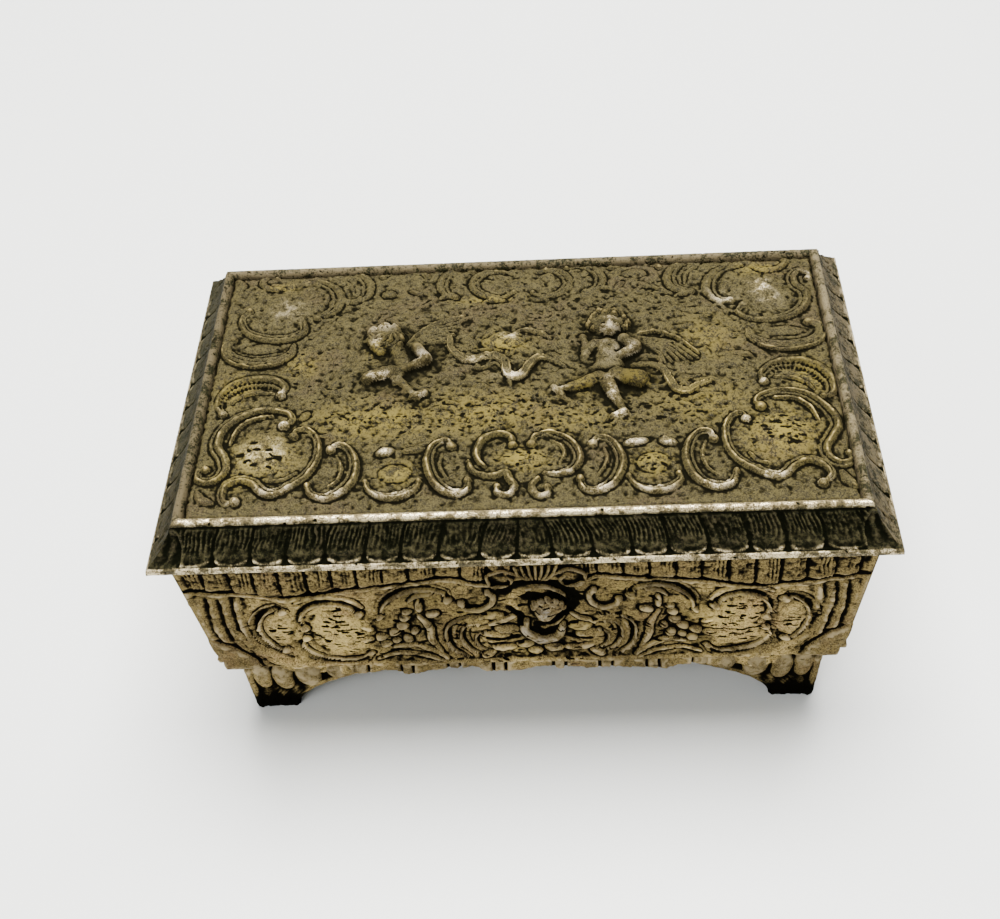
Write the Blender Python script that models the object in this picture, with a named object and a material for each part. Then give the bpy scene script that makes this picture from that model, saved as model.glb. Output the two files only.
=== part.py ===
"""Vanity trinket box: a cast silvered casket on four bracket feet, with a hinged lid.

Units are metres, +Z up, the front is towards -Y.
The origin is on the resting surface, at the middle of the rim's rectangle.
Side profiles are lists of (inset, height): the inset is measured inwards from the rim's edge,
so one profile makes all four sides and its corners mitre by themselves.
"""
import math

import bmesh
import bpy
from mathutils import Matrix, Vector

MM = 0.001

# Driving dimensions
LENGTH = 120 * MM            # over the rim, along X
DEPTH = 72 * MM              # over the rim, along Y
RIM_Z = 48 * MM              # underside of the lid's rim
GAP = 0.3 * MM               # between touching pieces
HALF_LENGTH = LENGTH / 2
HALF_DEPTH = DEPTH / 2

# Cast walls
WALL_TOP_Z = RIM_Z - GAP
WALL_TOP_INSET = 2.5 * MM
WALL_FOOT_Z = 16.2 * MM      # where the sloping wall meets the base moulding
WALL_FOOT_INSET = 4.8 * MM
WALL_TOP_THICKNESS = 2.6 * MM
BASE_STEP_Z = 15.4 * MM
BASE_INSET = 6.2 * MM
BASE_DRAFT = 0.2 * MM        # how much wider the base moulding is at its top
APRON_Z = 10.9 * MM
LEDGE_Z = 13.6 * MM          # the floor plate rests here
LEDGE_INSET = 8.6 * MM
INNER_FOOT_INSET = 7.6 * MM

# Bracket feet
FOOT_TOP_Z = APRON_Z - GAP
FOOT_INSET_X = 7.9 * MM      # at the ground
FOOT_INSET_Y = 6.8 * MM
FOOT_PAD = 8.2 * MM          # arm length at the ground
FOOT_ARM_X = 24.0 * MM       # arm length at the top, along the front and back
FOOT_ARM_Y = 17.0 * MM       # and along the sides
FOOT_THICK_GROUND = 6.6 * MM
FOOT_THICK_TOP = 3.2 * MM
FOOT_LEVELS = 9

# Floor plate and linings
FLOOR_THICKNESS = 1.2 * MM
LINING_THICKNESS = 1.3 * MM
LINING_TOP_Z = 46.4 * MM
PAD_THICKNESS = 3.4 * MM

# Lid
RIM_FILLET = 1.2 * MM        # thickness of the rim's flat edge
RIM_HOLLOW = 2.2 * MM        # rise of the hollow underside above the rim
COVE_START_INSET = 0.6 * MM
COVE_END_INSET = 4.35 * MM
COVE_STEP = 0.2 * MM         # small step between the rim and the cove
CURVE_STEPS = 8              # straight runs in the cove's and the bead's arcs
BEAD_RADIUS = 0.85 * MM
BEAD_Z = 54.5 * MM
PLAQUE_INSET = 6.4 * MM
PLAQUE_LEDGE_Z = 53.0 * MM
PLAQUE_LEDGE_INSET = 8.5 * MM
PLAQUE_LEDGE_THICKNESS = 1.2 * MM
PLAQUE_THICKNESS = 1.1 * MM
LID_PAD_THICKNESS = 3.6 * MM
LID_PAD_INSET = 8.9 * MM
PAD_ROUNDING = 1.0 * MM      # on both pads

# Hinges
HINGE_X = 30 * MM            # each hinge's middle
HINGE_WIDTH = 12 * MM
KNUCKLE_RADIUS = 1.2 * MM
BORE_RADIUS = 0.7 * MM
PIN_RADIUS = 0.5 * MM
PIN_HEAD_RADIUS = 0.95 * MM
PIN_HEAD_LENGTH = 0.5 * MM
LEAF_THICKNESS = 0.7 * MM
LEAF_DROP = 8 * MM
KNUCKLE_LENGTH = (HINGE_WIDTH - 2 * GAP) / 3
AXIS_Z = WALL_TOP_Z - LEAF_THICKNESS - GAP - KNUCKLE_RADIUS
ROUND_SIDES = 24


def wall_inset(z):
    """Inset of the sloping wall's outer face at height z."""
    share = (WALL_TOP_Z - z) / (WALL_TOP_Z - WALL_FOOT_Z)
    return WALL_TOP_INSET + share * (WALL_FOOT_INSET - WALL_TOP_INSET)


AXIS_Y = HALF_DEPTH - wall_inset(AXIS_Z) + GAP + KNUCKLE_RADIUS


def clear_scene():
    for old in list(bpy.data.objects):
        bpy.data.objects.remove(old)


def material(name, color, roughness, metallic):
    made = bpy.data.materials.new(name)
    made.use_nodes = True
    shader = made.node_tree.nodes["Principled BSDF"]
    shader.inputs["Base Color"].default_value = (*color, 1.0)
    shader.inputs["Roughness"].default_value = roughness
    shader.inputs["Metallic"].default_value = metallic
    return made


def new_object(name, bm, look=None):
    bmesh.ops.recalc_face_normals(bm, faces=bm.faces)
    mesh = bpy.data.meshes.new(name)
    bm.to_mesh(mesh)
    bm.free()
    made = bpy.data.objects.new(name, mesh)
    bpy.context.scene.collection.objects.link(made)
    if look:
        mesh.materials.append(look)
    return made


def cutter(name, bm):
    made = new_object(name, bm)
    made.hide_render = True
    made.display_type = "WIRE"
    return made


def boolean(target, other, operation):
    step = target.modifiers.new(f"{operation.lower()}_{other.name}", "BOOLEAN")
    step.operation = operation
    step.solver = "EXACT"
    step.object = other


def loft(sections, closed=False):
    """Join rings of points of equal count; the ends are capped unless the loft closes on itself."""
    bm = bmesh.new()
    rings = [[bm.verts.new(point) for point in ring] for ring in sections]
    count = len(rings[0])
    last = len(rings) if closed else len(rings) - 1
    for index in range(last):
        ring, following = rings[index], rings[(index + 1) % len(rings)]
        for k in range(count):
            nxt = (k + 1) % count
            bm.faces.new((ring[k], ring[nxt], following[nxt], following[k]))
    if not closed:
        bm.faces.new(rings[0])
        bm.faces.new(rings[-1])
    return bm


def side_piece(name, side, profile, look, clearance=0.0):
    """A straight piece along one side of the box, mitred at 45 degrees at both ends."""
    ends = []
    for end in (-1, 1):
        ring = []
        for inset, z in profile:
            along_x = end * (HALF_LENGTH - inset - clearance)
            along_y = end * (HALF_DEPTH - inset - clearance)
            if side == "front":
                ring.append((along_x, -(HALF_DEPTH - inset), z))
            elif side == "back":
                ring.append((along_x, HALF_DEPTH - inset, z))
            elif side == "left":
                ring.append((-(HALF_LENGTH - inset), along_y, z))
            else:
                ring.append((HALF_LENGTH - inset, along_y, z))
        ends.append(ring)
    return new_object(name, loft(ends), look)


def frame_piece(name, profile, look):
    """A closed frame that runs round all four sides."""
    corners = []
    for sx, sy in ((-1, -1), (1, -1), (1, 1), (-1, 1)):
        corners.append([(sx * (HALF_LENGTH - i), sy * (HALF_DEPTH - i), z) for i, z in profile])
    return new_object(name, loft(corners, closed=True), look)


def plate(name, inset, z_low, z_high, look, rounding=0.0):
    """A flat plate at an even inset; rounding softens its edges."""
    low, high = [
        [(sx * (HALF_LENGTH - inset), sy * (HALF_DEPTH - inset), z)
         for sx, sy in ((-1, -1), (1, -1), (1, 1), (-1, 1))]
        for z in (z_low, z_high)
    ]
    made = new_object(name, loft([low, high]), look)
    if rounding:
        bevel = made.modifiers.new("soft_edges", "BEVEL")
        bevel.width = rounding
        bevel.segments = 3
    return made


def box(low, high):
    rings = [
        [(low[0], low[1], z), (high[0], low[1], z), (high[0], high[1], z), (low[0], high[1], z)]
        for z in (low[2], high[2])
    ]
    return loft(rings)


def rod(x_low, x_high, radius, y, z):
    """A round bar along X."""
    rings = []
    for x in (x_low, x_high):
        turns = [2 * math.pi * k / ROUND_SIDES for k in range(ROUND_SIDES)]
        rings.append([(x, y + radius * math.cos(a), z + radius * math.sin(a)) for a in turns])
    return loft(rings)


# ---------------------------------------------------------------- casket body

def wall_profile():
    return [
        (WALL_TOP_INSET, WALL_TOP_Z),
        (WALL_FOOT_INSET, WALL_FOOT_Z),
        (BASE_INSET - BASE_DRAFT, BASE_STEP_Z),
        (BASE_INSET, APRON_Z),
        (LEDGE_INSET, APRON_Z),
        (LEDGE_INSET, LEDGE_Z),
        (INNER_FOOT_INSET, LEDGE_Z),
        (INNER_FOOT_INSET, WALL_FOOT_Z),
        (WALL_TOP_INSET + WALL_TOP_THICKNESS, WALL_TOP_Z),
    ]


def lining_profile():
    bottom = LEDGE_Z + GAP + FLOOR_THICKNESS + GAP
    outer_foot = INNER_FOOT_INSET + GAP
    outer_top = WALL_TOP_INSET + WALL_TOP_THICKNESS + 2 * GAP
    return [
        (outer_top, LINING_TOP_Z),
        (outer_foot, WALL_FOOT_Z),
        (outer_foot, bottom),
        (outer_foot + LINING_THICKNESS, bottom),
        (outer_foot + LINING_THICKNESS, WALL_FOOT_Z),
        (outer_top + LINING_THICKNESS, LINING_TOP_Z),
    ]


def bracket_foot(name, sx, sy, look):
    """An L-shaped corner foot whose arms reach out towards the top along a concave curve."""
    sections = []
    for level in range(FOOT_LEVELS):
        share = level / (FOOT_LEVELS - 1)
        z = share * FOOT_TOP_Z
        reach = share ** 2
        arm_x = FOOT_PAD + reach * (FOOT_ARM_X - FOOT_PAD)
        arm_y = FOOT_PAD + reach * (FOOT_ARM_Y - FOOT_PAD)
        thick = FOOT_THICK_GROUND + share * (FOOT_THICK_TOP - FOOT_THICK_GROUND)
        x_out = HALF_LENGTH - FOOT_INSET_X - share * (BASE_INSET - FOOT_INSET_X)
        y_out = HALF_DEPTH - FOOT_INSET_Y - share * (BASE_INSET - FOOT_INSET_Y)
        outline = [
            (x_out, y_out),
            (x_out - arm_x, y_out),
            (x_out - arm_x, y_out - thick),
            (x_out - thick, y_out - thick),
            (x_out - thick, y_out - arm_y),
            (x_out, y_out - arm_y),
        ]
        sections.append([(sx * x, sy * y, z) for x, y in outline])
    return new_object(name, loft(sections), look)


# ---------------------------------------------------------------- lid

def lid_frame_profile():
    """Flat rim, hollow cove, round bead, rebate for the plaque and a hollow underside."""
    points = [(0.0, RIM_Z), (0.0, RIM_Z + RIM_FILLET)]
    cove_low = RIM_Z + RIM_FILLET + COVE_STEP
    for k in range(CURVE_STEPS + 1):
        turn = 0.5 * math.pi * k / CURVE_STEPS
        inset = COVE_START_INSET + (COVE_END_INSET - COVE_START_INSET) * math.sin(turn)
        points.append((inset, cove_low + (BEAD_Z - cove_low) * (1 - math.cos(turn))))
    bead_middle = COVE_END_INSET + BEAD_RADIUS
    for k in range(1, CURVE_STEPS):
        turn = math.pi * k / CURVE_STEPS
        points.append((bead_middle - BEAD_RADIUS * math.cos(turn), BEAD_Z + BEAD_RADIUS * math.sin(turn)))
    inner = COVE_END_INSET + 2 * BEAD_RADIUS
    points += [
        (inner, BEAD_Z),
        (inner, PLAQUE_LEDGE_Z),
        (PLAQUE_LEDGE_INSET, PLAQUE_LEDGE_Z),
        (PLAQUE_LEDGE_INSET, PLAQUE_LEDGE_Z - PLAQUE_LEDGE_THICKNESS),
        (inner, RIM_Z + RIM_HOLLOW),
        (WALL_TOP_INSET + WALL_TOP_THICKNESS, RIM_Z),
    ]
    return points


# ---------------------------------------------------------------- hinges

def leaf_plate(x_mid):
    """The body leaf's plate: it lies along the sloping back wall, from the barrel down."""
    z_high = AXIS_Z
    z_low = AXIS_Z - LEAF_DROP
    rings = []
    for end in (-1, 1):
        x = x_mid + end * HINGE_WIDTH / 2
        inner_high = HALF_DEPTH - wall_inset(z_high) + GAP
        inner_low = HALF_DEPTH - wall_inset(z_low) + GAP
        rings.append([
            (x, inner_high, z_high),
            (x, inner_high + LEAF_THICKNESS, z_high),
            (x, inner_low + LEAF_THICKNESS, z_low),
            (x, inner_low, z_low),
        ])
    return loft(rings)


def body_leaf(side, x_mid, look):
    leaf = new_object(f"hinge_{side}_body_leaf", leaf_plate(x_mid), look)
    outer = HINGE_WIDTH / 2
    inner = outer - KNUCKLE_LENGTH
    for label, low, high in (("a", -outer, -inner), ("b", inner, outer)):
        barrel = rod(x_mid + low, x_mid + high, KNUCKLE_RADIUS, AXIS_Y, AXIS_Z)
        boolean(leaf, cutter(f"cut_{side}_knuckle_{label}", barrel), "UNION")
    notch_half = inner
    notch = box(
        (x_mid - notch_half, AXIS_Y - 2 * KNUCKLE_RADIUS, AXIS_Z - KNUCKLE_RADIUS - GAP),
        (x_mid + notch_half, AXIS_Y + 2 * KNUCKLE_RADIUS, AXIS_Z + 2 * KNUCKLE_RADIUS),
    )
    boolean(leaf, cutter(f"cut_{side}_notch", notch), "DIFFERENCE")
    bore = rod(x_mid - HINGE_WIDTH, x_mid + HINGE_WIDTH, BORE_RADIUS, AXIS_Y, AXIS_Z)
    boolean(leaf, cutter(f"cut_{side}_body_bore", bore), "DIFFERENCE")
    return leaf


def lid_leaf(side, x_mid, look):
    """A plate soldered under the rim, with one knuckle hanging from its middle."""
    half_knuckle = KNUCKLE_LENGTH / 2
    barrel = rod(x_mid - half_knuckle, x_mid + half_knuckle, KNUCKLE_RADIUS, AXIS_Y, AXIS_Z)
    leaf = new_object(f"hinge_{side}_lid_leaf", barrel, look)
    plate_low = WALL_TOP_Z - LEAF_THICKNESS
    pad = box(
        (x_mid - HINGE_WIDTH / 2, AXIS_Y - KNUCKLE_RADIUS, plate_low),
        (x_mid + HINGE_WIDTH / 2, HALF_DEPTH - GAP, WALL_TOP_Z),
    )
    boolean(leaf, cutter(f"cut_{side}_pad", pad), "UNION")
    web = box(
        (x_mid - half_knuckle, AXIS_Y - 0.8 * KNUCKLE_RADIUS, AXIS_Z),
        (x_mid + half_knuckle, AXIS_Y + 0.8 * KNUCKLE_RADIUS, plate_low + 0.5 * LEAF_THICKNESS),
    )
    boolean(leaf, cutter(f"cut_{side}_web", web), "UNION")
    bore = rod(x_mid - HINGE_WIDTH, x_mid + HINGE_WIDTH, BORE_RADIUS, AXIS_Y, AXIS_Z)
    boolean(leaf, cutter(f"cut_{side}_lid_bore", bore), "DIFFERENCE")
    return leaf


def hinge_pin(side, x_mid, look):
    """A headed pin through all three knuckles."""
    half = HINGE_WIDTH / 2 + GAP
    radii = [
        (-half - PIN_HEAD_LENGTH, 0.6 * PIN_HEAD_RADIUS),
        (-half - 0.5 * PIN_HEAD_LENGTH, PIN_HEAD_RADIUS),
        (-half, PIN_HEAD_RADIUS),
        (-half, PIN_RADIUS),
        (half, PIN_RADIUS),
        (half, PIN_HEAD_RADIUS),
        (half + 0.5 * PIN_HEAD_LENGTH, PIN_HEAD_RADIUS),
        (half + PIN_HEAD_LENGTH, 0.6 * PIN_HEAD_RADIUS),
    ]
    rings = []
    for x, radius in radii:
        turns = [2 * math.pi * k / ROUND_SIDES for k in range(ROUND_SIDES)]
        rings.append([
            (x_mid + x, AXIS_Y + radius * math.cos(a), AXIS_Z + radius * math.sin(a)) for a in turns
        ])
    return new_object(f"hinge_{side}_pin", loft(rings), look)


def hang_on(pivot, pieces):
    """Parent moving pieces to the empty on the hinge axis, leaving them where they are."""
    for piece in pieces:
        piece.parent = pivot
        piece.matrix_parent_inverse = Matrix.Translation(-Vector(pivot.location))


def build():
    clear_scene()
    wall_metal = material("antique_silver", (0.56, 0.50, 0.38), 0.42, 1.0)
    lid_metal = material("lid_silver", (0.42, 0.39, 0.30), 0.40, 1.0)
    plaque_metal = material("plaque_gilt", (0.38, 0.33, 0.20), 0.45, 1.0)
    plate_metal = material("base_plate", (0.45, 0.42, 0.34), 0.5, 1.0)
    hinge_metal = material("hinge_brass", (0.55, 0.45, 0.26), 0.4, 1.0)
    pin_metal = material("pin_steel", (0.40, 0.39, 0.37), 0.4, 1.0)
    velvet = material("velvet", (0.22, 0.02, 0.04), 0.95, 0.0)

    for side in ("front", "back", "left", "right"):
        side_piece(f"{side}_panel", side, wall_profile(), wall_metal, GAP / 2)
        side_piece(f"lining_{side}", side, lining_profile(), velvet, GAP / 2)

    for depth_name, sy in (("front", -1), ("back", 1)):
        for side, sx in (("left", -1), ("right", 1)):
            bracket_foot(f"foot_{depth_name}_{side}", sx, sy, wall_metal)

    floor_low = LEDGE_Z + GAP
    floor_high = floor_low + FLOOR_THICKNESS
    plate("floor_plate", INNER_FOOT_INSET + GAP, floor_low, floor_high, plate_metal)
    pad_inset = INNER_FOOT_INSET + GAP + LINING_THICKNESS + GAP
    pad_low = floor_high + GAP
    plate("floor_pad", pad_inset, pad_low, pad_low + PAD_THICKNESS, velvet, PAD_ROUNDING)

    lid_frame = frame_piece("lid_frame", lid_frame_profile(), lid_metal)
    plaque_low = PLAQUE_LEDGE_Z + GAP
    plaque = plate("lid_plaque", PLAQUE_INSET, plaque_low, plaque_low + PLAQUE_THICKNESS, plaque_metal)
    lid_pad_low = PLAQUE_LEDGE_Z - LID_PAD_THICKNESS
    lid_pad = plate("lid_pad", LID_PAD_INSET, lid_pad_low, PLAQUE_LEDGE_Z, velvet, PAD_ROUNDING)

    pivot = bpy.data.objects.new("lid_pivot", None)
    pivot.location = (0.0, AXIS_Y, AXIS_Z)
    bpy.context.scene.collection.objects.link(pivot)
    moving = [lid_frame, plaque, lid_pad]
    for side, sx in (("left", -1), ("right", 1)):
        body_leaf(side, sx * HINGE_X, hinge_metal)
        moving.append(lid_leaf(side, sx * HINGE_X, hinge_metal))
        hinge_pin(side, sx * HINGE_X, pin_metal)
    hang_on(pivot, moving)


build()
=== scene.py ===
"""The looks of the vanity trinket box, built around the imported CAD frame.

The castings are height fields worked out in millimetres: scrolls, figures and tongues are drawn as strokes,
domes and limbs on a flat sheet, then laid on the plaque, round the lid frame and over the walls.
"""
import math

import bmesh
import bpy
import numpy as np
from mathutils import Matrix, Vector


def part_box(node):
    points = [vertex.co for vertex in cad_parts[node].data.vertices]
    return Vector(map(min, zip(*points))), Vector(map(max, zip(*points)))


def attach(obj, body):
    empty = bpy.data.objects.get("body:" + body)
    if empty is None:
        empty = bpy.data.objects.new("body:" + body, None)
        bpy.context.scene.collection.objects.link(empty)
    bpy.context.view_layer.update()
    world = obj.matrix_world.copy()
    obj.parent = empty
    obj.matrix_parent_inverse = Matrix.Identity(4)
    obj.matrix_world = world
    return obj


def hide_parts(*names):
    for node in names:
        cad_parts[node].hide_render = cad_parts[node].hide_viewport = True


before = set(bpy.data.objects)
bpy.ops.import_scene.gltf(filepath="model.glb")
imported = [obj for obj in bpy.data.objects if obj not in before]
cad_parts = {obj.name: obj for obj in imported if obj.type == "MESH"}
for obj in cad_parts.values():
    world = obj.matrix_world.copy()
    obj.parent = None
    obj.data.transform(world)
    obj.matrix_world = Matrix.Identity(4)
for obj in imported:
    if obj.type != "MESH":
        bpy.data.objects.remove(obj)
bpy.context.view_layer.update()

MM = 0.001
STEP = 0.2                     # mm between the points of a casting's surface


def box_mm(node):
    low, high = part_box(node)
    return np.array(low) / MM, np.array(high) / MM


lid_low, lid_high = box_mm("lid_frame")
plaque_low, plaque_high = box_mm("lid_plaque")
wall_low, wall_high = box_mm("front_panel")
HALF_LENGTH = lid_high[0]      # the rim's rectangle, which every inset is measured from
HALF_DEPTH = -lid_low[1]
RIM_Z = lid_low[2]
BEAD_TOP_Z = lid_high[2]


# ---------------------------------------------------------------- drawing relief

def blur(field, sigma):
    """Gaussian blur of a 2D array, with its edges held."""
    reach = max(1, int(3 * sigma))
    kernel = np.exp(-0.5 * (np.arange(-reach, reach + 1) / sigma) ** 2)
    kernel /= kernel.sum()
    for axis in (0, 1):
        pads = [(reach, reach) if a == axis else (0, 0) for a in (0, 1)]
        padded = np.pad(field, pads, mode="edge")
        total = np.zeros_like(field)
        size = field.shape[axis]
        for k, weight in enumerate(kernel):
            part = padded[k:k + size, :] if axis == 0 else padded[:, k:k + size]
            total += weight * part
        field = total
    return field


def smooth_step(value, low, high):
    t = np.clip((value - low) / (high - low), 0, 1)
    return t * t * (3 - 2 * t)


def smooth_path(points, spacing=0.12):
    """Evenly spaced points on a Catmull-Rom curve through the given ones."""
    p = np.array(points, float)
    p = np.vstack([2 * p[0] - p[1], p, 2 * p[-1] - p[-2]])
    dense = []
    for k in range(1, len(p) - 2):
        count = max(2, int(np.linalg.norm(p[k + 1] - p[k]) / spacing * 1.5))
        t = np.linspace(0, 1, count, endpoint=False)[:, None]
        a, b, c, d = p[k - 1], p[k], p[k + 1], p[k + 2]
        dense.append(0.5 * (2 * b + (c - a) * t + (2 * a - 5 * b + 4 * c - d) * t ** 2
                            + (3 * b - a - 3 * c + d) * t ** 3))
    dense.append(p[-2][None])
    dense = np.vstack(dense)
    along = np.concatenate([[0], np.cumsum(np.linalg.norm(np.diff(dense, axis=0), axis=1))])
    even = np.arange(0, along[-1] + spacing * 0.5, spacing)
    even = np.clip(even, 0, along[-1])
    return np.stack([np.interp(even, along, dense[:, k]) for k in (0, 1)], axis=1)


class Relief:
    """A height field in millimetres over the rectangle x by y."""

    def __init__(self, x_low, x_high, y_low, y_high, seed, step=STEP):
        nx = int(round((x_high - x_low) / step)) + 1
        ny = int(round((y_high - y_low) / step)) + 1
        self.x = np.linspace(x_low, x_high, nx)
        self.y = np.linspace(y_low, y_high, ny)
        self.X, self.Y = np.meshgrid(self.x, self.y)
        self.h = np.zeros((ny, nx))
        self.cover = np.zeros((ny, nx))
        self.moat = np.zeros((ny, nx))
        self.brass = np.zeros((ny, nx))
        self.wear_and_highlight = np.zeros((ny, nx))
        self.crevice_and_shade = np.zeros((ny, nx))
        self.rng = np.random.default_rng(seed)

    def window(self, x0, x1, y0, y1):
        i0, i1 = np.searchsorted(self.x, (x0, x1))
        j0, j1 = np.searchsorted(self.y, (y0, y1))
        return slice(max(j0 - 1, 0), j1 + 1), slice(max(i0 - 1, 0), i1 + 1)

    def raise_to(self, win, value, inside, soft=0.06):
        """Lift the window to value where inside is set, with a soft join to what is there."""
        old = self.h[win]
        lifted = 0.5 * (old + value + np.sqrt((old - value) ** 2 + soft ** 2)) - 0.5 * soft
        self.h[win] = np.where(inside, np.maximum(lifted, old), old)
        self.cover[win] = np.maximum(self.cover[win], inside * (value > old - 0.02))

    def ring_moat(self, win, outside):
        """Remember a narrow moat where outside, the distance beyond an edge, is small."""
        near = np.exp(-((outside - 0.12) / 0.26) ** 2) * (outside > -0.25)
        self.moat[win] = np.maximum(self.moat[win], near)

    def stroke(self, points, half, height, ends=(0.45, 0.45), section="rib", lift=0.0, moat=True):
        """A moulded ridge along a curve. ends scale its width at the start and the end."""
        skew, sink, slim = STROKE_SHAPE.get(section, (1.0, 0.0, 1.0))
        path = smooth_path(points)
        reach = half + 0.9
        win = self.window(path[:, 0].min() - reach, path[:, 0].max() + reach,
                          path[:, 1].min() - reach, path[:, 1].max() + reach)
        X, Y = self.X[win], self.Y[win]
        if X.size == 0:
            return
        best = np.full(X.shape, 1e9)
        index = np.zeros(X.shape, int)
        for k, (px, py) in enumerate(path):
            d = (X - px) ** 2 + (Y - py) ** 2
            closer = d < best
            best = np.where(closer, d, best)
            index = np.where(closer, k, index)
        t = index / max(1, len(path) - 1)
        tangent = np.gradient(path, axis=0)
        tangent /= np.linalg.norm(tangent, axis=1)[:, None] + 1e-9
        turn = np.cross(tangent[:-1], tangent[1:]).sum()
        side = np.sign((X - path[index, 0]) * tangent[index, 1] - (Y - path[index, 1]) * tangent[index, 0])
        side = side * (1 if turn >= 0 else -1)
        narrow = (ends[0] * (1 - t) + ends[1] * t) * slim
        width = half * (narrow + (1 - narrow) * np.sin(math.pi * t ** skew) ** 0.8)
        distance = np.sqrt(best)
        s = np.clip(distance / width, 0, 1)
        signed = s * side
        shape = SECTIONS[section](s, signed, t)
        tall = height * (0.60 + 0.40 * width / half)
        if sink:
            hollow = np.exp(-((distance * side / width - 0.15) / 0.50) ** 2)
            hollow *= np.sin(math.pi * np.clip(t, 0.03, 0.97)) ** 0.5
            self.h[win] -= hollow * (sink + 0.06 * np.cos(index * 0.12 * 2 * math.pi / 0.6))
        self.raise_to(win, lift + tall * shape, distance < width)
        if moat:
            self.ring_moat(win, distance - width)

    def dome(self, x, y, rx, ry, height, angle=0.0, lift=0.0, power=0.5, moat=True):
        """An elliptical boss."""
        reach = max(rx, ry) + 0.9
        win = self.window(x - reach, x + reach, y - reach, y + reach)
        c, s = math.cos(math.radians(angle)), math.sin(math.radians(angle))
        u = (self.X[win] - x) * c + (self.Y[win] - y) * s
        v = -(self.X[win] - x) * s + (self.Y[win] - y) * c
        q = (u / rx) ** 2 + (v / ry) ** 2
        self.raise_to(win, lift + height * np.clip(1 - q, 0, 1) ** power, q < 1)
        if moat:
            self.ring_moat(win, (np.sqrt(q) - 1) * min(rx, ry))

    def limb(self, x0, y0, x1, y1, r0, r1, z0, z1, moat=True):
        """A tapered round limb; z is the height of its middle line."""
        reach = max(r0, r1) + 0.9
        win = self.window(min(x0, x1) - reach, max(x0, x1) + reach, min(y0, y1) - reach, max(y0, y1) + reach)
        X, Y = self.X[win], self.Y[win]
        dx, dy = x1 - x0, y1 - y0
        t = np.clip(((X - x0) * dx + (Y - y0) * dy) / (dx * dx + dy * dy + 1e-9), 0, 1)
        r = r0 + t * (r1 - r0)
        d = np.hypot(X - x0 - t * dx, Y - y0 - t * dy)
        z = z0 + t * (z1 - z0)
        self.raise_to(win, z + np.sqrt(np.clip(r * r - d * d, 0, None)), d < r, soft=0.12)
        if moat:
            self.ring_moat(win, d - r)

    def hatch(self, points, half, spacing, depth):
        """Short cuts across a band."""
        path = smooth_path(points)
        reach = half + 0.3
        win = self.window(path[:, 0].min() - reach, path[:, 0].max() + reach,
                          path[:, 1].min() - reach, path[:, 1].max() + reach)
        X, Y = self.X[win], self.Y[win]
        best = np.full(X.shape, 1e9)
        index = np.zeros(X.shape, int)
        for k, (px, py) in enumerate(path):
            d = (X - px) ** 2 + (Y - py) ** 2
            closer = d < best
            best = np.where(closer, d, best)
            index = np.where(closer, k, index)
        phase = index * 0.12 / spacing * 2 * math.pi
        edge = smooth_step(half - np.sqrt(best), 0, 0.35)
        self.h[win] -= depth * edge * (0.5 + 0.5 * np.cos(phase))

    def soften(self, x0, x1, y0, y1, sigma, amount):
        """Blend the window with its own blur, so that drawn parts grow together."""
        win = self.window(x0, x1, y0, y1)
        soft = blur(self.h[win], sigma / STEP)
        keep = smooth_step(self.cover[win], 0.0, 1.0) * amount
        self.h[win] = self.h[win] * (1 - keep) + soft * keep

    def dent(self, x, y, rx, ry, depth):
        """A soft hollow."""
        reach = 2 * max(rx, ry)
        win = self.window(x - reach, x + reach, y - reach, y + reach)
        q = ((self.X[win] - x) / rx) ** 2 + ((self.Y[win] - y) / ry) ** 2
        self.h[win] -= depth * np.exp(-q)

    def strands(self, x, y, rx, ry, count, depth, curl, inner=0.15):
        """Wavy locks that wind out from the crown of a head at x, y, outside inner of its radius."""
        reach = max(rx, ry) * 1.1
        win = self.window(x - reach, x + reach, y - reach, y + reach)
        u, v = (self.X[win] - x) / rx, (self.Y[win] - y) / ry
        r = np.hypot(u, v)
        turn = np.arctan2(v, u) + curl * r + 0.35 * np.sin(6 * r)
        zone = smooth_step(1.08 - r, 0.0, 0.12) * smooth_step(r, inner, inner + 0.15)
        self.h[win] += depth * zone * (np.abs(np.cos(0.5 * count * turn)) ** 0.7 - 0.62)

    def glow(self, x, y, rx, ry, amount=1.0, field="brass"):
        """Add to a soft patch of a surface value such as brass."""
        target = getattr(self, field)
        q = ((self.X - x) / rx) ** 2 + ((self.Y - y) / ry) ** 2
        np.maximum(target, amount * np.exp(-1.2 * q), out=target)

    def grain(self, size, amount, where=1.0):
        """Casting grain: smoothed noise whose lumps are about size mm across."""
        noise = blur(self.rng.standard_normal(self.h.shape), size / STEP / 2)
        self.h += amount * where * noise / noise.std()

    def carve(self, points, half, depth):
        """A soft groove along a curve, that stays black: a dark mark, or a painted shadow."""
        path = smooth_path(points)
        reach = 2.2 * half
        win = self.window(path[:, 0].min() - reach, path[:, 0].max() + reach,
                          path[:, 1].min() - reach, path[:, 1].max() + reach)
        X, Y = self.X[win], self.Y[win]
        nearest = np.full(X.shape, 1e9)
        for px, py in path:
            nearest = np.minimum(nearest, (X - px) ** 2 + (Y - py) ** 2)
        groove = np.exp(-nearest / half ** 2)
        self.h[win] -= depth * groove
        self.crevice_and_shade[win] = np.maximum(self.crevice_and_shade[win], groove)

    def nicks(self, x, y, rx, ry, count, length, half):
        """Short level nicks scattered over an ellipse."""
        for _ in range(count):
            turn, radius = self.rng.uniform(0, 2 * math.pi), math.sqrt(self.rng.uniform(0, 1))
            px, py = x + rx * radius * math.cos(turn), y + ry * radius * math.sin(turn)
            long, drop = self.rng.uniform(0.3, 1.0) * length, self.rng.normal(0, 0.08) * length
            self.carve([(px - long / 2, py - drop), (px + long / 2, py + drop)],
                       half * self.rng.uniform(0.7, 1.4), 0.12)

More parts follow.
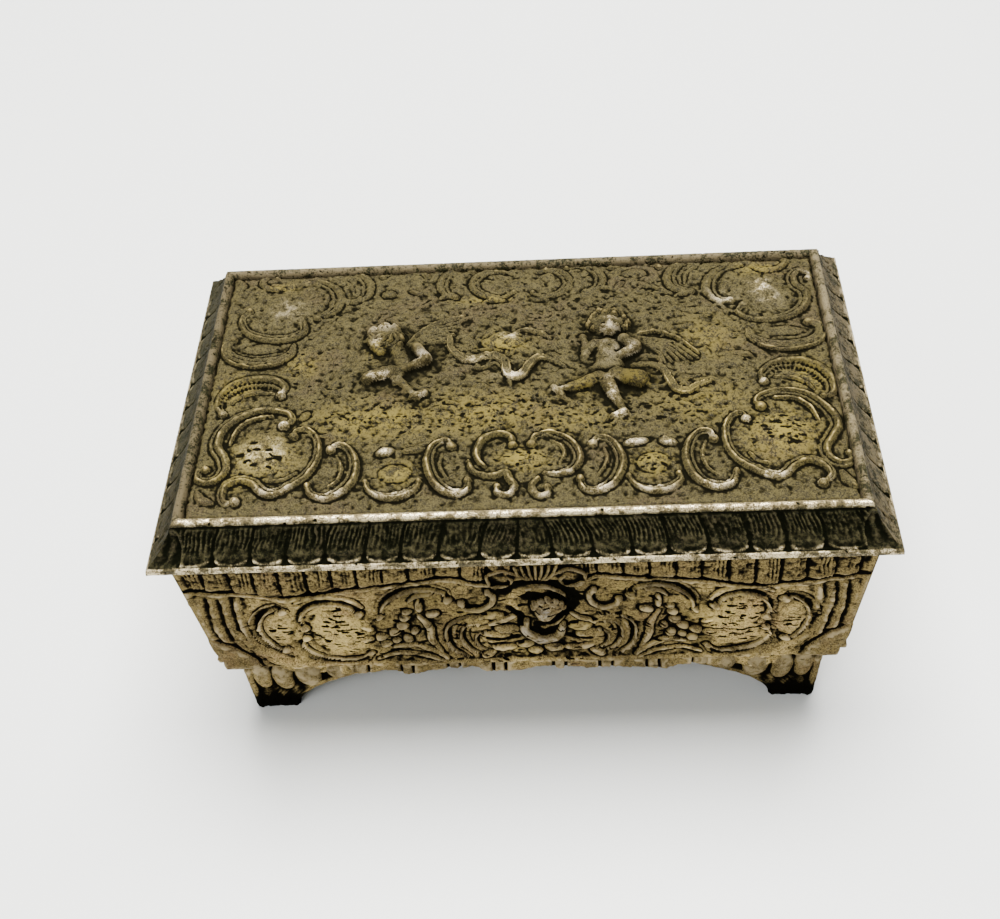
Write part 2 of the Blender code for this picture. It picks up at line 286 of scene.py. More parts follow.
    def finish(self, moat_depth=0.22):
        """Cut the moats round the raised parts, here deeper and there shallower."""
        uneven = blur(self.rng.standard_normal(self.h.shape), 1.6 / STEP)
        uneven = np.clip(0.75 + 0.45 * uneven / uneven.std(), 0.1, 1.5)
        self.h -= moat_depth * uneven * self.moat * (1 - self.cover)


def rib(s, signed, t):
    """Round, with a soft ridge along its middle that catches the light."""
    return 0.74 * np.sqrt(1 - s * s) + 0.26 * np.exp(-(s / 0.36) ** 2)


def channel(s, signed, t):
    """A fat rib on the outer side of the curve, with a thin one inside it."""
    across = (signed - 0.34) / 0.64
    fat = 0.74 * np.sqrt(np.clip(1 - across ** 2, 0, 1)) + 0.26 * np.exp(-((across + 0.1) / 0.36) ** 2)
    thin = 0.50 * np.exp(-((signed + 0.66) / 0.17) ** 2)
    return np.maximum(fat, thin + 0.06)


def mould(s, signed, t):
    """A crisp inner line and a faint outer one; STROKE_SHAPE sinks the hollow between them."""
    inner, outer = np.exp(-((signed + 0.66) / 0.20) ** 2), np.exp(-((signed - 0.98) / 0.16) ** 2)
    return 0.75 * inner + 0.25 * outer - 1.2 * (1 - inner) * (1 - outer)


def blade(s, signed, t):
    """A thin bright outer edge; STROKE_SHAPE sinks the hollow inside it."""
    edge = np.exp(-((signed - 0.72) / 0.20) ** 2)
    return 0.95 * edge - 1.2 * (1 - edge)


def ribbon(s, signed, t):
    """A flat band with raised edges."""
    return 0.62 + 0.38 * smooth_step(s, 0.45, 0.8) - 0.7 * smooth_step(s, 0.88, 1.0)


def reeds(s, signed, t):
    """Three ribs, the outer one the strongest."""
    wave = 0.5 + 0.5 * np.cos((signed - 0.68) * 2 * math.pi / 0.66)
    return (0.3 + 0.7 * wave * (0.65 + 0.35 * signed)) * np.clip((1 - s) * 5, 0, 1)


def leaf(s, signed, t):
    """A pointed leaf with a sunk midrib."""
    return (1 - s * s) * 0.9 - 0.35 * np.exp(-(s / 0.16) ** 2)


SECTIONS = {"rib": rib, "channel": channel, "mould": mould, "blade": blade, "ribbon": ribbon,
            "reeds": reeds, "leaf": leaf}
# where along its length a stroke is widest (1 is the middle, more is later), how deep it is sunk,
# and the share of the given width that its ends keep
STROKE_SHAPE = {"channel": (1.45, 0.0, 0.72), "mould": (1.0, 0.50, 0.9), "blade": (1.0, 0.50, 0.6),
                "reeds": (1.0, 0.0, 0.8)}


def draw(relief, strokes, lift=0.0):
    """Strokes are (points, half width, height, ends, section, start knob, end knob)."""
    for points, half, height, ends, section, knob_start, knob_end in strokes:
        relief.stroke(points, half, height, ends, section, lift)
        for (x, y), radius in ((points[0], knob_start), (points[-1], knob_end)):
            if radius:
                relief.dome(x, y, radius, radius, height * 1.05, lift=lift)


# ---------------------------------------------------------------- the lid's plaque

PLAQUE_FIELD_Z = plaque_high[2]
PLAQUE_SCROLLS = [
    # front left corner
    ([(-39.6, -10.9), (-38.4, -9.4), (-39.3, -7.6), (-43.5, -6.7), (-47.3, -8.2), (-50.0, -11.3), (-50.5,
     -15.0), (-48.9, -18.0), (-48.4, -20.8), (-49.8, -22.8), (-52.0, -22.6), (-52.4, -20.9), (-51.3,
     -20.4)], 1.15, 0.95, (0.6, 0.55), "channel", 1.0, 0.75),
    ([(-48.2, -14.6), (-47.4, -11.6), (-45.4, -9.3), (-41.8, -8.3)], 0.45, 0.8, (0.5, 0.5), "rib", 0, 0),
    ([(-37.7, -13.4), (-37.4, -12.0), (-35.4, -12.0), (-33.7, -14.4), (-33.4, -18.2), (-34.7, -21.9),
     (-37.4, -24.6), (-40.0, -26.0), (-41.7, -25.2), (-43.2, -23.5), (-45.4, -22.7), (-47.5, -23.9),
     (-48.0, -26.0), (-47.2, -27.9), (-45.6, -27.7)], 1.05, 0.95, (0.6, 0.5), "channel", 0.85, 0.9),
    ([(-41.0, -23.3), (-38.4, -23.0), (-36.3, -21.4)], 0.4, 0.5, (0.4, 0.4), "rib", 0, 0),
    ([(-52.0, -25.4), (-51.0, -27.0), (-49.3, -27.6)], 0.95, 0.6, (0.6, 0.4), "leaf", 0, 0),
    # front right corner
    ([(39.2, -9.8), (38.6, -8.4), (40.2, -6.8), (43.6, -6.2), (47.1, -7.6), (49.7, -10.8), (50.8, -14.2),
     (49.6, -16.9), (48.3, -19.2), (48.4, -21.6), (50.0, -23.2), (52.1, -22.6), (52.0, -21.0)], 1.15, 0.95,
     (0.6, 0.55), "channel", 1.0, 0.75),
    ([(41.6, -7.9), (45.0, -8.3), (47.3, -10.6), (48.2, -13.6)], 0.45, 0.8, (0.5, 0.5), "rib", 0, 0),
    ([(36.5, -12.6), (35.9, -11.1), (34.2, -11.9), (33.0, -14.6), (33.1, -18.4), (34.4, -21.4), (37.0,
     -23.9), (39.8, -25.3), (41.4, -24.8), (43.0, -23.0), (45.3, -22.1), (47.7, -23.3), (48.5, -25.5),
     (46.9, -27.3)], 1.05, 0.95, (0.6, 0.5), "channel", 0.85, 0.9),
    ([(36.3, -20.0), (37.4, -21.8), (39.4, -22.8)], 0.4, 0.5, (0.4, 0.4), "rib", 0, 0),
    ([(50.2, -24.9), (50.9, -26.8), (52.4, -28.2)], 0.95, 0.6, (0.6, 0.4), "leaf", 0, 0),
    # back left corner
    ([(-40.6, 25.9), (-37.6, 26.6), (-34.6, 24.8), (-33.3, 21.6), (-34.1, 18.4), (-36.6, 16.6)], 1.3, 0.7,
     (0.35, 0.6), "channel", 0, 0.9),
    ([(-49.2, 18.9), (-50.4, 16.8), (-48.8, 13.3), (-45.2, 11.4), (-41.4, 11.4), (-38.9, 13.2), (-39.4,
     16.3)], 1.15, 0.75, (0.6, 0.5), "channel", 0.6, 0.85),
    ([(-43.9, 25.2), (-46.4, 25.4), (-48.0, 27.2), (-47.0, 28.9), (-45.3, 28.4)], 0.7, 0.5, (0.6, 0.6),
     "rib", 0, 0.6),
    ([(-52.6, 28.2), (-51.6, 26.6), (-51.8, 25.2)], 0.8, 0.4, (0.6, 0.4), "leaf", 0, 0),
    # back right corner
    ([(40.0, 27.1), (36.6, 26.4), (34.2, 24.0), (33.4, 20.6), (34.6, 17.8), (36.9, 17.2)], 1.35, 0.7, (0.3,
     0.7), "channel", 0, 0.9),
    ([(39.1, 15.9), (37.9, 14.2), (39.9, 12.3), (43.6, 12.0), (47.2, 13.2), (49.5, 15.6), (50.0, 18.6),
     (48.5, 21.0), (48.4, 23.4), (49.8, 24.9), (51.6, 24.1), (51.3, 22.6)], 1.1, 0.75, (0.6, 0.5),
     "channel", 0.9, 0.75),
    ([(41.4, 26.7), (43.7, 25.5), (46.4, 26.0), (47.8, 27.8), (46.6, 29.1)], 0.7, 0.5, (0.4, 0.6), "rib",
     0, 0.6),
    ([(51.9, 28.6), (51.4, 27.2), (52.2, 26.0)], 0.8, 0.4, (0.6, 0.4), "leaf", 0, 0),
    # left side
    ([(-51.0, 11.2), (-52.3, 9.6), (-51.2, 7.0), (-48.8, 5.5), (-45.8, 5.0), (-42.8, 5.5), (-40.6, 7.2),
     (-40.2, 9.4)], 1.5, 0.75, (0.35, 0.35), "reeds", 0.7, 0),
    ([(-50.4, -7.6), (-51.4, -5.2), (-50.9, -2.6), (-49.0, -0.5), (-46.2, 0.4), (-43.0, 0.2), (-40.9,
     -1.3), (-41.0, -3.5)], 1.5, 0.85, (0.5, 0.4), "channel", 0.8, 0.85),
    ([(-49.2, -4.9), (-47.5, -3.1), (-44.6, -2.4), (-42.2, -2.8)], 0.4, 0.55, (0.4, 0.4), "rib", 0, 0),
    # right side
    ([(49.6, 10.8), (51.6, 9.6), (50.9, 6.8), (48.2, 5.3), (45.0, 4.9), (41.9, 5.6), (39.6, 7.6), (39.2,
     9.8)], 1.5, 0.75, (0.35, 0.35), "reeds", 0.8, 0),
    ([(40.4, -3.9), (40.5, -1.5), (43.0, 0.5), (46.6, 0.7), (49.6, -1.0), (51.3, -4.0), (51.1, -6.8),
     (49.6, -8.0)], 1.5, 0.85, (0.5, 0.4), "channel", 0.85, 0.6),
    ([(42.2, -2.7), (44.8, -3.0), (47.0, -4.2), (48.4, -6.0)], 0.4, 0.6, (0.4, 0.4), "rib", 0, 0),
    # front band, left of the middle
    ([(-31.2, -16.9), (-30.2, -15.6), (-28.2, -16.9), (-27.1, -19.9), (-27.3, -23.3), (-28.8, -25.8),
     (-31.0, -27.2), (-33.3, -26.5), (-34.3, -24.7)], 1.15, 1.0, (0.6, 0.5), "channel", 0.85, 0.6),
    ([(-30.2, -17.9), (-29.2, -20.8), (-29.6, -23.6), (-31.0, -25.0)], 0.35, 0.6, (0.4, 0.4), "rib", 0, 0),
    ([(-25.0, -24.2), (-24.2, -26.0), (-22.2, -27.3), (-19.3, -27.3), (-17.2, -26.0), (-16.4, -24.4)], 1.0,
     0.9, (0.5, 0.5), "channel", 0.5, 0.5),
    ([(-11.4, -16.9), (-12.4, -15.4), (-14.4, -16.5), (-15.1, -19.7), (-14.3, -23.3), (-12.8, -25.8),
     (-10.7, -27.2), (-8.8, -26.4), (-8.6, -24.6)], 1.1, 1.0, (0.6, 0.6), "channel", 0.85, 0.7),
    ([(-13.0, -18.2), (-13.2, -21.0), (-11.8, -24.2)], 0.35, 0.5, (0.4, 0.4), "rib", 0, 0),
    ([(-1.5, -16.9), (-1.9, -15.0), (-3.9, -14.2), (-6.2, -15.3), (-7.3, -17.7), (-7.1, -20.0), (-6.0,
     -21.4)], 0.75, 0.95, (0.8, 0.5), "rib", 0.8, 0),
    ([(-8.6, -20.2), (-8.0, -22.2), (-6.2, -23.4), (-4.3, -23.6), (-2.6, -22.9), (-2.0, -24.4), (-1.2,
     -26.0), (-2.2, -27.7), (-3.9, -27.3), (-3.9, -26.0)], 0.75, 0.85, (0.5, 0.6), "rib", 0, 0.65),
    # front band, right of the middle
    ([(1.5, -16.9), (2.2, -15.0), (4.6, -14.5), (7.2, -15.9), (8.8, -18.4), (9.0, -20.8), (7.6, -22.9),
     (5.4, -23.5), (3.6, -23.2)], 0.95, 0.95, (0.7, 0.6), "channel", 0.8, 0),
    ([(4.6, -15.9), (6.4, -17.5), (6.8, -19.4), (6.0, -21.2)], 0.35, 0.6, (0.4, 0.4), "rib", 0, 0),
    ([(2.6, -24.4), (1.5, -26.0), (2.4, -28.0), (4.0, -27.8), (4.1, -26.6)], 0.7, 0.85, (0.6, 0.6), "rib",
     0, 0.65),
    ([(11.4, -17.3), (12.3, -15.8), (14.2, -16.4), (15.6, -19.1), (15.8, -22.0), (14.6, -25.2), (12.3,
     -27.2), (10.0, -26.9), (9.2, -24.9)], 1.1, 1.0, (0.6, 0.6), "channel", 0.85, 0.7),
    ([(13.3, -18.1), (13.6, -20.9), (12.1, -24.0)], 0.35, 0.5, (0.4, 0.4), "rib", 0, 0),
    ([(16.9, -24.6), (18.2, -26.5), (20.6, -27.6), (23.3, -27.1), (24.9, -25.5), (24.8, -24.3)], 1.0, 0.9,
     (0.5, 0.5), "channel", 0.5, 0.5),
    ([(30.9, -17.0), (30.3, -15.2), (28.2, -15.6), (26.7, -18.6), (26.6, -22.0), (27.8, -25.3), (30.3,
     -27.1), (32.8, -26.6), (33.8, -24.4)], 1.15, 1.0, (0.6, 0.5), "channel", 0.85, 0.6),
    ([(29.6, -17.2), (28.8, -20.2), (29.4, -23.0), (31.0, -24.9)], 0.35, 0.6, (0.4, 0.4), "rib", 0, 0),
    # back band, flatter
    ([(-34.6, 27.9), (-32.0, 28.9), (-29.6, 27.8), (-28.2, 25.4), (-28.4, 22.4), (-30.4, 20.6)], 1.2, 0.5,
     (0.5, 0.6), "channel", 0, 0.85),
    ([(-33.2, 27.2), (-31.4, 25.4), (-30.6, 22.8)], 0.35, 0.3, (0.4, 0.4), "rib", 0, 0),
    ([(-25.6, 27.6), (-24.2, 28.9), (-21.4, 29.2), (-18.6, 28.6), (-17.4, 27.2)], 0.75, 0.45, (0.7, 0.7),
     "channel", 0.6, 0.6),
    ([(-9.0, 28.0), (-11.2, 28.8), (-13.6, 27.6), (-14.5, 24.8), (-13.8, 22.2), (-12.0, 21.0)], 1.1, 0.5,
     (0.5, 0.6), "channel", 0.6, 0.7),
    ([(-1.6, 21.8), (-3.6, 20.7), (-6.4, 21.2), (-8.4, 23.2), (-8.6, 25.6), (-6.8, 27.6), (-4.6, 28.0)],
     1.0, 0.5, (0.6, 0.5), "channel", 0.5, 0.6),
    ([(-4.6, 28.4), (-2.6, 27.4), (-1.2, 28.6)], 0.5, 0.4, (0.6, 0.6), "rib", 0, 0.5),
    ([(4.9, 28.4), (3.0, 27.4), (1.4, 28.6)], 0.5, 0.4, (0.6, 0.6), "rib", 0, 0.5),
    ([(2.0, 21.6), (4.0, 20.5), (6.6, 21.2), (8.2, 23.2), (8.0, 25.6), (6.2, 27.5), (4.4, 27.8)], 1.0, 0.5,
     (0.6, 0.5), "channel", 0.5, 0.6),
    ([(8.2, 28.3), (10.4, 28.9), (13.0, 27.6), (14.2, 25.0), (13.6, 22.4), (11.4, 21.2)], 1.1, 0.5, (0.5,
     0.6), "channel", 0.6, 0.7),
    ([(16.2, 27.9), (18.2, 29.0), (21.0, 29.2), (23.8, 28.7), (25.0, 27.4)], 0.75, 0.45, (0.7, 0.7),
     "channel", 0.6, 0.6),
    ([(32.2, 28.4), (29.8, 28.8), (27.6, 27.0), (26.6, 24.2), (27.4, 21.6), (30.2, 20.3)], 1.2, 0.5, (0.5,
     0.6), "channel", 0, 0.85),
    ([(31.8, 27.2), (29.8, 25.6), (29.2, 22.8)], 0.35, 0.3, (0.4, 0.4), "rib", 0, 0),
]
# bosses and buds: x, y, rx, ry, height, angle, power
PLAQUE_DOMES = [
    (-42.4, -16.6, 5.4, 5.6, 0.6, 0, 0.9), (42.2, -16.2, 5.4, 5.6, 0.6, 0, 0.9),
    (-41.6, 19.4, 5.8, 5.4, 0.5, 0, 0.9), (42.2, 19.6, 5.6, 5.4, 0.5, 0, 0.9),
    (45.2, 8.9, 3.4, 1.2, 0.35, 0, 0.9), (-45.8, 8.8, 3.4, 1.2, 0.35, 0, 0.9),
    (0.2, -19.8, 3.6, 2.2, 0.45, 0, 0.8), (-20.4, -22.3, 2.6, 2.0, 0.5, 0, 0.8),
    (21.0, -21.6, 2.6, 2.2, 0.5, 0, 0.8), (-22.3, -17.5, 1.6, 1.0, 0.75, 20, 0.5),
    (-17.6, -17.3, 2.0, 0.75, 0.75, 8, 0.5), (18.4, -17.0, 2.2, 0.85, 0.8, 14, 0.5),
    (23.6, -17.1, 1.5, 0.95, 0.75, -18, 0.5), (-51.6, 22.2, 1.0, 0.9, 0.45, 0, 0.5),
    (-24.2, 22.6, 1.3, 1.1, 0.5, 0, 0.6), (-13.6, 21.4, 1.6, 0.6, 0.5, 20, 0.6),
    (12.4, 20.7, 2.0, 0.6, 0.5, 14, 0.6), (22.0, 22.6, 1.5, 0.7, 0.5, -40, 0.6),
    (24.6, 21.2, 2.2, 0.45, 0.5, -32, 0.6), (28.6, 19.7, 1.0, 0.6, 0.45, 0, 0.6),
    (0.4, 24.0, 3.6, 2.0, 0.3, 0, 0.9), (20.4, 26.0, 2.2, 1.2, 0.35, 0, 0.8),
    (-38.4, 3.2, 1.5, 1.0, 0.4, 30, 0.6), (37.6, 3.4, 1.8, 0.7, 0.45, -16, 0.6),
    (-36.4, -8.4, 1.2, 0.8, 0.35, 60, 0.7), (3.4, 19.6, 1.5, 0.55, 0.45, 0, 0.6),
    (-4.6, 19.7, 1.7, 0.6, 0.45, 0, 0.6), (17.6, 22.9, 1.3, 0.5, 0.4, 50, 0.6),
    (-19.2, 22.6, 1.4, 0.5, 0.4, -30, 0.6),
]


def cloud_swirls(relief, count, low, high):
    """Faint curling cloud lines over the middle of the field."""
    rng = relief.rng
    for _ in range(count):
        x, y = rng.uniform(low[0], high[0]), rng.uniform(low[1], high[1])
        radius = rng.uniform(1.2, 3.6)
        start, sweep = rng.uniform(0, 2 * math.pi), rng.uniform(1.6, 4.4)
        turns = start + np.linspace(0, sweep, 6)
        shrink = np.linspace(1, rng.uniform(0.35, 0.8), 6)
        points = [(x + radius * k * math.cos(a), y + 0.7 * radius * k * math.sin(a)) for a,
                  k in zip(turns, shrink)]
        relief.stroke(points, rng.uniform(0.40, 0.80), rng.uniform(0.20, 0.44), (0.3, 0.5), "rib", moat=False)


def feathers(relief, root, tip, spread, count, half, height, lift):
    """A wing: overlapping feathers from near the root out to a curved row of tips."""
    root, tip, spread = (np.array(v, float) for v in (root, tip, spread))
    for k in range(count):
        share = k / (count - 1)
        start = root + 0.25 * share * (spread - root)
        end = tip + share * (spread - tip)
        middle = 0.5 * (start + end) + 0.12 * np.array([-(end - start)[1], (end - start)[0]])
        relief.stroke([start, middle, end], half, height, (0.9, 0.45), "rib", lift * (1 - 0.4 * share) - 0.25)


def flying_putto(relief):
    """The left child: it leans forward in profile, one arm bent, legs trailing."""
    relief.limb(-21.8, 7.4, -20.2, 2.6, 1.8, 1.9, -0.7, -0.7)            # back and seat
    relief.limb(-20.2, 2.6, -21.8, 0.4, 1.8, 1.6, -0.7, -0.3)
    relief.limb(-22.4, 1.2, -26.2, -0.2, 1.5, 1.35, 0.3, 0.5)            # thigh, towards the knee
    relief.limb(-26.4, -0.6, -23.0, 0.5, 1.15, 0.8, 0.8, 0.8)            # shin, folded over it
    relief.limb(-21.0, -0.8, -18.6, -3.8, 0.85, 0.5, 0.4, 0.4)           # trailing shin
    relief.limb(-18.4, -5.2, -16.3, -4.2, 0.70, 0.58, 0.8, 0.8)          # foot
    relief.dome(-21.4, -1.4, 0.9, 0.7, 1.1)
    relief.dome(-24.0, 9.9, 3.5, 3.1, 1.9, power=0.5)                    # head
    relief.limb(-25.2, 8.0, -24.6, 6.8, 1.5, 1.1, 0.3, 0.1)              # cheek and chin
    relief.soften(-30, -14, -7, 15, 0.30, 0.75)
    feathers(relief, (-19.6, 7.6), (-10.6, 14.9), (-12.6, 8.6), 7, 0.62, 0.75, 0.25)
    relief.stroke([(-20.0, 8.0), (-17.8, 11.3), (-14.6, 13.7), (-10.4, 15.2)], 0.5, 0.75, (0.6, 0.3),
                  "rib", 0.35)
    relief.strands(-23.2, 10.4, 3.6, 3.2, 11, 0.85, 2.6)
    relief.dent(-25.3, 8.9, 0.55, 0.35, 0.45)
    relief.dent(-24.4, 7.3, 0.8, 0.4, 0.35)
    for x, y, rx, ry, angle in ((-26.3, 11.6, 1.3, 0.7, 40), (-21.1, 9.3, 1.0, 0.7, -70),
                                (-21.2, 7.6, 1.0, 0.6, 60),
                                (-24.2, 12.7, 1.4, 0.6, 5), (-22.2, 12.2, 1.2, 0.6, -35)):
        relief.dome(x, y, rx, ry, 1.9, angle, power=0.5)                 # locks at the edge of the hair
    relief.dome(-26.6, 8.7, 0.45, 0.7, 1.5, power=0.5)                   # brow and nose
    relief.limb(-18.2, 6.6, -16.4, 3.8, 1.05, 0.95, 0.9, 1.1)            # upper arm
    relief.limb(-16.5, 3.3, -20.2, 1.5, 0.90, 0.60, 1.1, 1.0)            # forearm
    relief.limb(-20.4, 1.4, -21.3, 0.9, 0.55, 0.45, 1.0, 0.9)            # hand


def facing_putto(relief):
    """The right child: it faces out, one arm across the chest, legs astride."""
    relief.limb(14.8, 5.6, 14.9, 1.6, 2.7, 2.5, -0.9, -0.8)              # chest and belly
    relief.dome(14.9, 1.4, 2.7, 2.0, 1.6, power=0.5)
    relief.limb(12.6, 6.8, 10.8, 3.8, 0.95, 0.75, 0.4, 0.3)              # far arm
    relief.limb(10.8, 3.8, 10.9, 7.6, 0.70, 0.55, 0.4, 0.4)
    relief.dome(10.6, 8.7, 0.7, 0.85, 1.1)
    relief.dome(15.0, 11.7, 3.4, 3.3, 1.6, power=0.5)                    # hair, then face
    relief.dome(15.2, 10.9, 2.3, 2.7, 2.1, power=0.5)
    relief.limb(16.0, -1.6, 19.6, -2.7, 1.8, 1.9, 0.1, 0.2)              # folded thigh
    relief.limb(13.0, -2.0, 8.6, -3.9, 1.55, 1.15, 0.1, 0.2)             # stretched leg
    relief.limb(8.6, -3.9, 6.6, -4.3, 0.9, 0.6, 0.4, 0.4)
    relief.limb(5.3, -3.6, 6.6, -5.6, 0.5, 0.68, 0.6, 0.6)               # its foot
    relief.limb(14.2, -2.8, 15.3, -6.2, 1.5, 1.1, 0.4, 0.5)              # middle leg
    relief.limb(15.3, -6.2, 16.6, -9.2, 1.05, 0.65, 0.5, 0.5)
    relief.limb(17.0, -10.1, 14.9, -11.1, 0.68, 0.5, 0.5, 0.5)           # its foot
    relief.soften(4, 23, -12, 16, 0.30, 0.75)
    feathers(relief, (19.6, 8.4), (30.0, 2.8), (24.4, 1.8), 6, 0.60, 0.62, 0.1)
    relief.stroke([(19.4, 8.6), (23.0, 9.6), (26.8, 7.6), (30.2, 3.6)], 0.40, 0.7, (0.7, 0.4), "rib", 0.15)
    relief.dome(15.3, 10.5, 0.40, 0.70, 2.75, power=0.5, moat=False)     # nose, cheeks, chin, brow
    relief.dome(14.1, 9.8, 0.75, 0.60, 2.40, power=0.5, moat=False)
    relief.dome(16.5, 9.8, 0.75, 0.60, 2.40, power=0.5, moat=False)
    relief.dome(15.3, 8.6, 0.75, 0.45, 2.30, power=0.5, moat=False)
    relief.dome(15.3, 12.0, 1.5, 0.50, 2.45, power=0.5, moat=False)
    relief.dent(15.3, 9.35, 0.6, 0.22, 0.40)
    for sx in (-1, 1):
        relief.dent(15.3 + 1.0 * sx, 10.9, 0.55, 0.30, 0.50)
    for k in range(11):                                                  # curls round the head
        turn = math.radians(-28 + 23.6 * k)
        radius = 3.15 + 0.25 * math.sin(2.3 * k)
        relief.dome(15.1 + radius * math.cos(turn), 11.7 + 0.95 * radius * math.sin(turn), 0.85, 0.6, 1.55,
                    math.degrees(turn) + 60, power=0.5)
    relief.dome(14.6, 13.6, 1.0, 0.6, 2.2, 20, power=0.5)
    relief.dome(16.2, 13.4, 0.9, 0.55, 2.1, -20, power=0.5)
    relief.strands(15.1, 11.5, 3.9, 3.8, 15, 0.7, 1.6, 0.70)
    relief.limb(17.6, 7.2, 19.5, 5.2, 1.15, 1.1, 0.7, 0.9)               # near arm, bent across
    relief.limb(19.4, 4.8, 16.6, 2.9, 1.05, 0.75, 0.9, 1.0)
    relief.dome(15.8, 3.0, 0.8, 0.6, 1.6)


DRAWN_SCALE = 1.016             # the plaque was drawn a little small, and off its middle
DRAWN_X, DRAWN_Y = 0.55, 1.1


# where the plaque is rubbed bright or carries a painted highlight: x, y, radius along x and along y, amount
PLAQUE_WEAR_AND_HIGHLIGHTS = [
    (-42.4, -18.2, 4.6, 3.6, 0.5), (42.5, 21, 1.6, 2.2, 0.8), (44, 17, 2.4, 2, 0.4),
    (15.3, 10.3, 0.5, 0.9, 0.9), (14.1, 9.7, 0.7, 0.5, 0.7), (16.5, 9.7, 0.7, 0.5, 0.7),
    (15.3, 8.5, 0.8, 0.4, 0.8), (15.3, 12.1, 1.3, 0.4, 0.6), (-25.2, 8.2, 1.0, 1.0, 0.6),
    (-42.5, 18, 3.5, 3, 0.18), (-25, 12.6, 2.4, 1.6, 0.7), (15, 5, 4, 4, 0.10), (36, 18, 2.5, 2.5, 0.4),
    (-1.5, 10, 2, 1.2, 0.6), (-17.2, 3.6, 1.6, 1.8, 0.9), (-24.6, -0.3, 2.4, 0.9, 1),
    (-17.3, -4.7, 1.3, 0.8, 1), (6.0, -4.7, 1.2, 1.2, 0.8), (15.9, -10.6, 1.4, 0.8, 1),
    (15.2, -5.4, 1.0, 2.6, 0.8), (18.0, 4.2, 1.8, 1.4, 0.7), (-2.4, -0.4, 2.0, 1.0, 0.9),
    (-8.0, 4.0, 2.4, 0.8, 0.7), (-31.2, -26.8, 2.4, 1.0, 1), (-20.7, -27.0, 2.6, 0.9, 0.9),
    (-10.8, -26.9, 2.2, 1.0, 1), (-2.6, -27.4, 1.4, 0.8, 1), (6.2, -23.3, 2.2, 0.8, 0.8),
    (3.0, -27.8, 1.4, 0.8, 1), (12.0, -27.0, 2.2, 1.0, 1), (20.8, -27.3, 2.6, 0.8, 0.8),
    (30.2, -27.0, 2.2, 1.0, 1), (32.8, -26.0, 1.2, 1.2, 0.9), (-39.6, -25.7, 2.6, 0.9, 1),
    (39.4, -25.1, 2.4, 0.9, 0.9), (-46.0, -27.6, 1.2, 0.8, 0.9), (47.2, -26.9, 1.2, 0.9, 0.9),
    (-31.0, -16.2, 1.0, 0.8, 0.8), (-11.9, -16.0, 1.0, 0.8, 0.8), (11.8, -16.6, 1.0, 0.8, 0.8),
    (30.6, -16.2, 1.0, 0.8, 0.8), (-22.3, -17.8, 1.4, 0.7, 0.7), (18.4, -17.2, 2.0, 0.6, 0.8),
    (23.6, -17.3, 1.3, 0.6, 0.8), (-39.6, -10.9, 1.0, 0.8, 0.8), (36.6, -12.9, 0.8, 0.7, 0.8),
    (-50.6, -7.2, 1.0, 1.0, 0.8), (50.6, 22.9, 1.4, 1.2, 0.5), (-41.0, -3.3, 0.8, 0.7, 0.8),
    (40.4, -3.9, 0.8, 0.7, 0.8),
]


# where its brass shows, the same way
PLAQUE_BRASS = [
    (-42.4, -18.2, 5.4, 4.4, 1), (-24, -10, 12, 4.5, 0.7), (-6, -9, 12, 5, 0.7), (8, -11, 9, 3.5, 0.5),
    (30, -8, 8, 5, 0.5), (42, -16, 6, 6, 1), (21, -21.5, 3, 3, 0.9), (-20, -22.3, 3, 2.6, 0.9),
    (0, -20, 4, 2.5, 1), (-3, 8, 4, 2.4, 1), (19, -3, 3.4, 2.4, 0.8), (-24.8, 7, 2, 2, 0.9),
    (10, -3.6, 3, 2, 0.8), (-49, -2, 3, 4, 0.8), (48, -3, 3, 4, 0.8), (-44, 25.5, 3, 1, 0.8),
    (43, 26, 4, 2, 0.7), (32, 8, 5, 5, 0.5), (-6, 20, 5, 1, 0.7), (-46, -23, 4, 2, 0.7),
    (-38, 4, 3, 3, 0.6),
]

# dark blots in the bosses, then over the ground: the arguments of Relief.nicks
PLAQUE_BLOTS = [
    (-42.8, -17.4, 3.8, 3.2, 13, 0.8, 0.26), (42.4, -15.8, 3.6, 3.8, 34, 0.5, 0.20),
    (0.4, -19.8, 3.2, 1.8, 22, 0.4, 0.16), (21.0, -21.6, 2.2, 1.8, 18, 0.4, 0.16),
    (-2, -9.5, 32, 4.5, 110, 0.4, 0.16), (0, 0, 48, 28, 300, 0.4, 0.14),
]


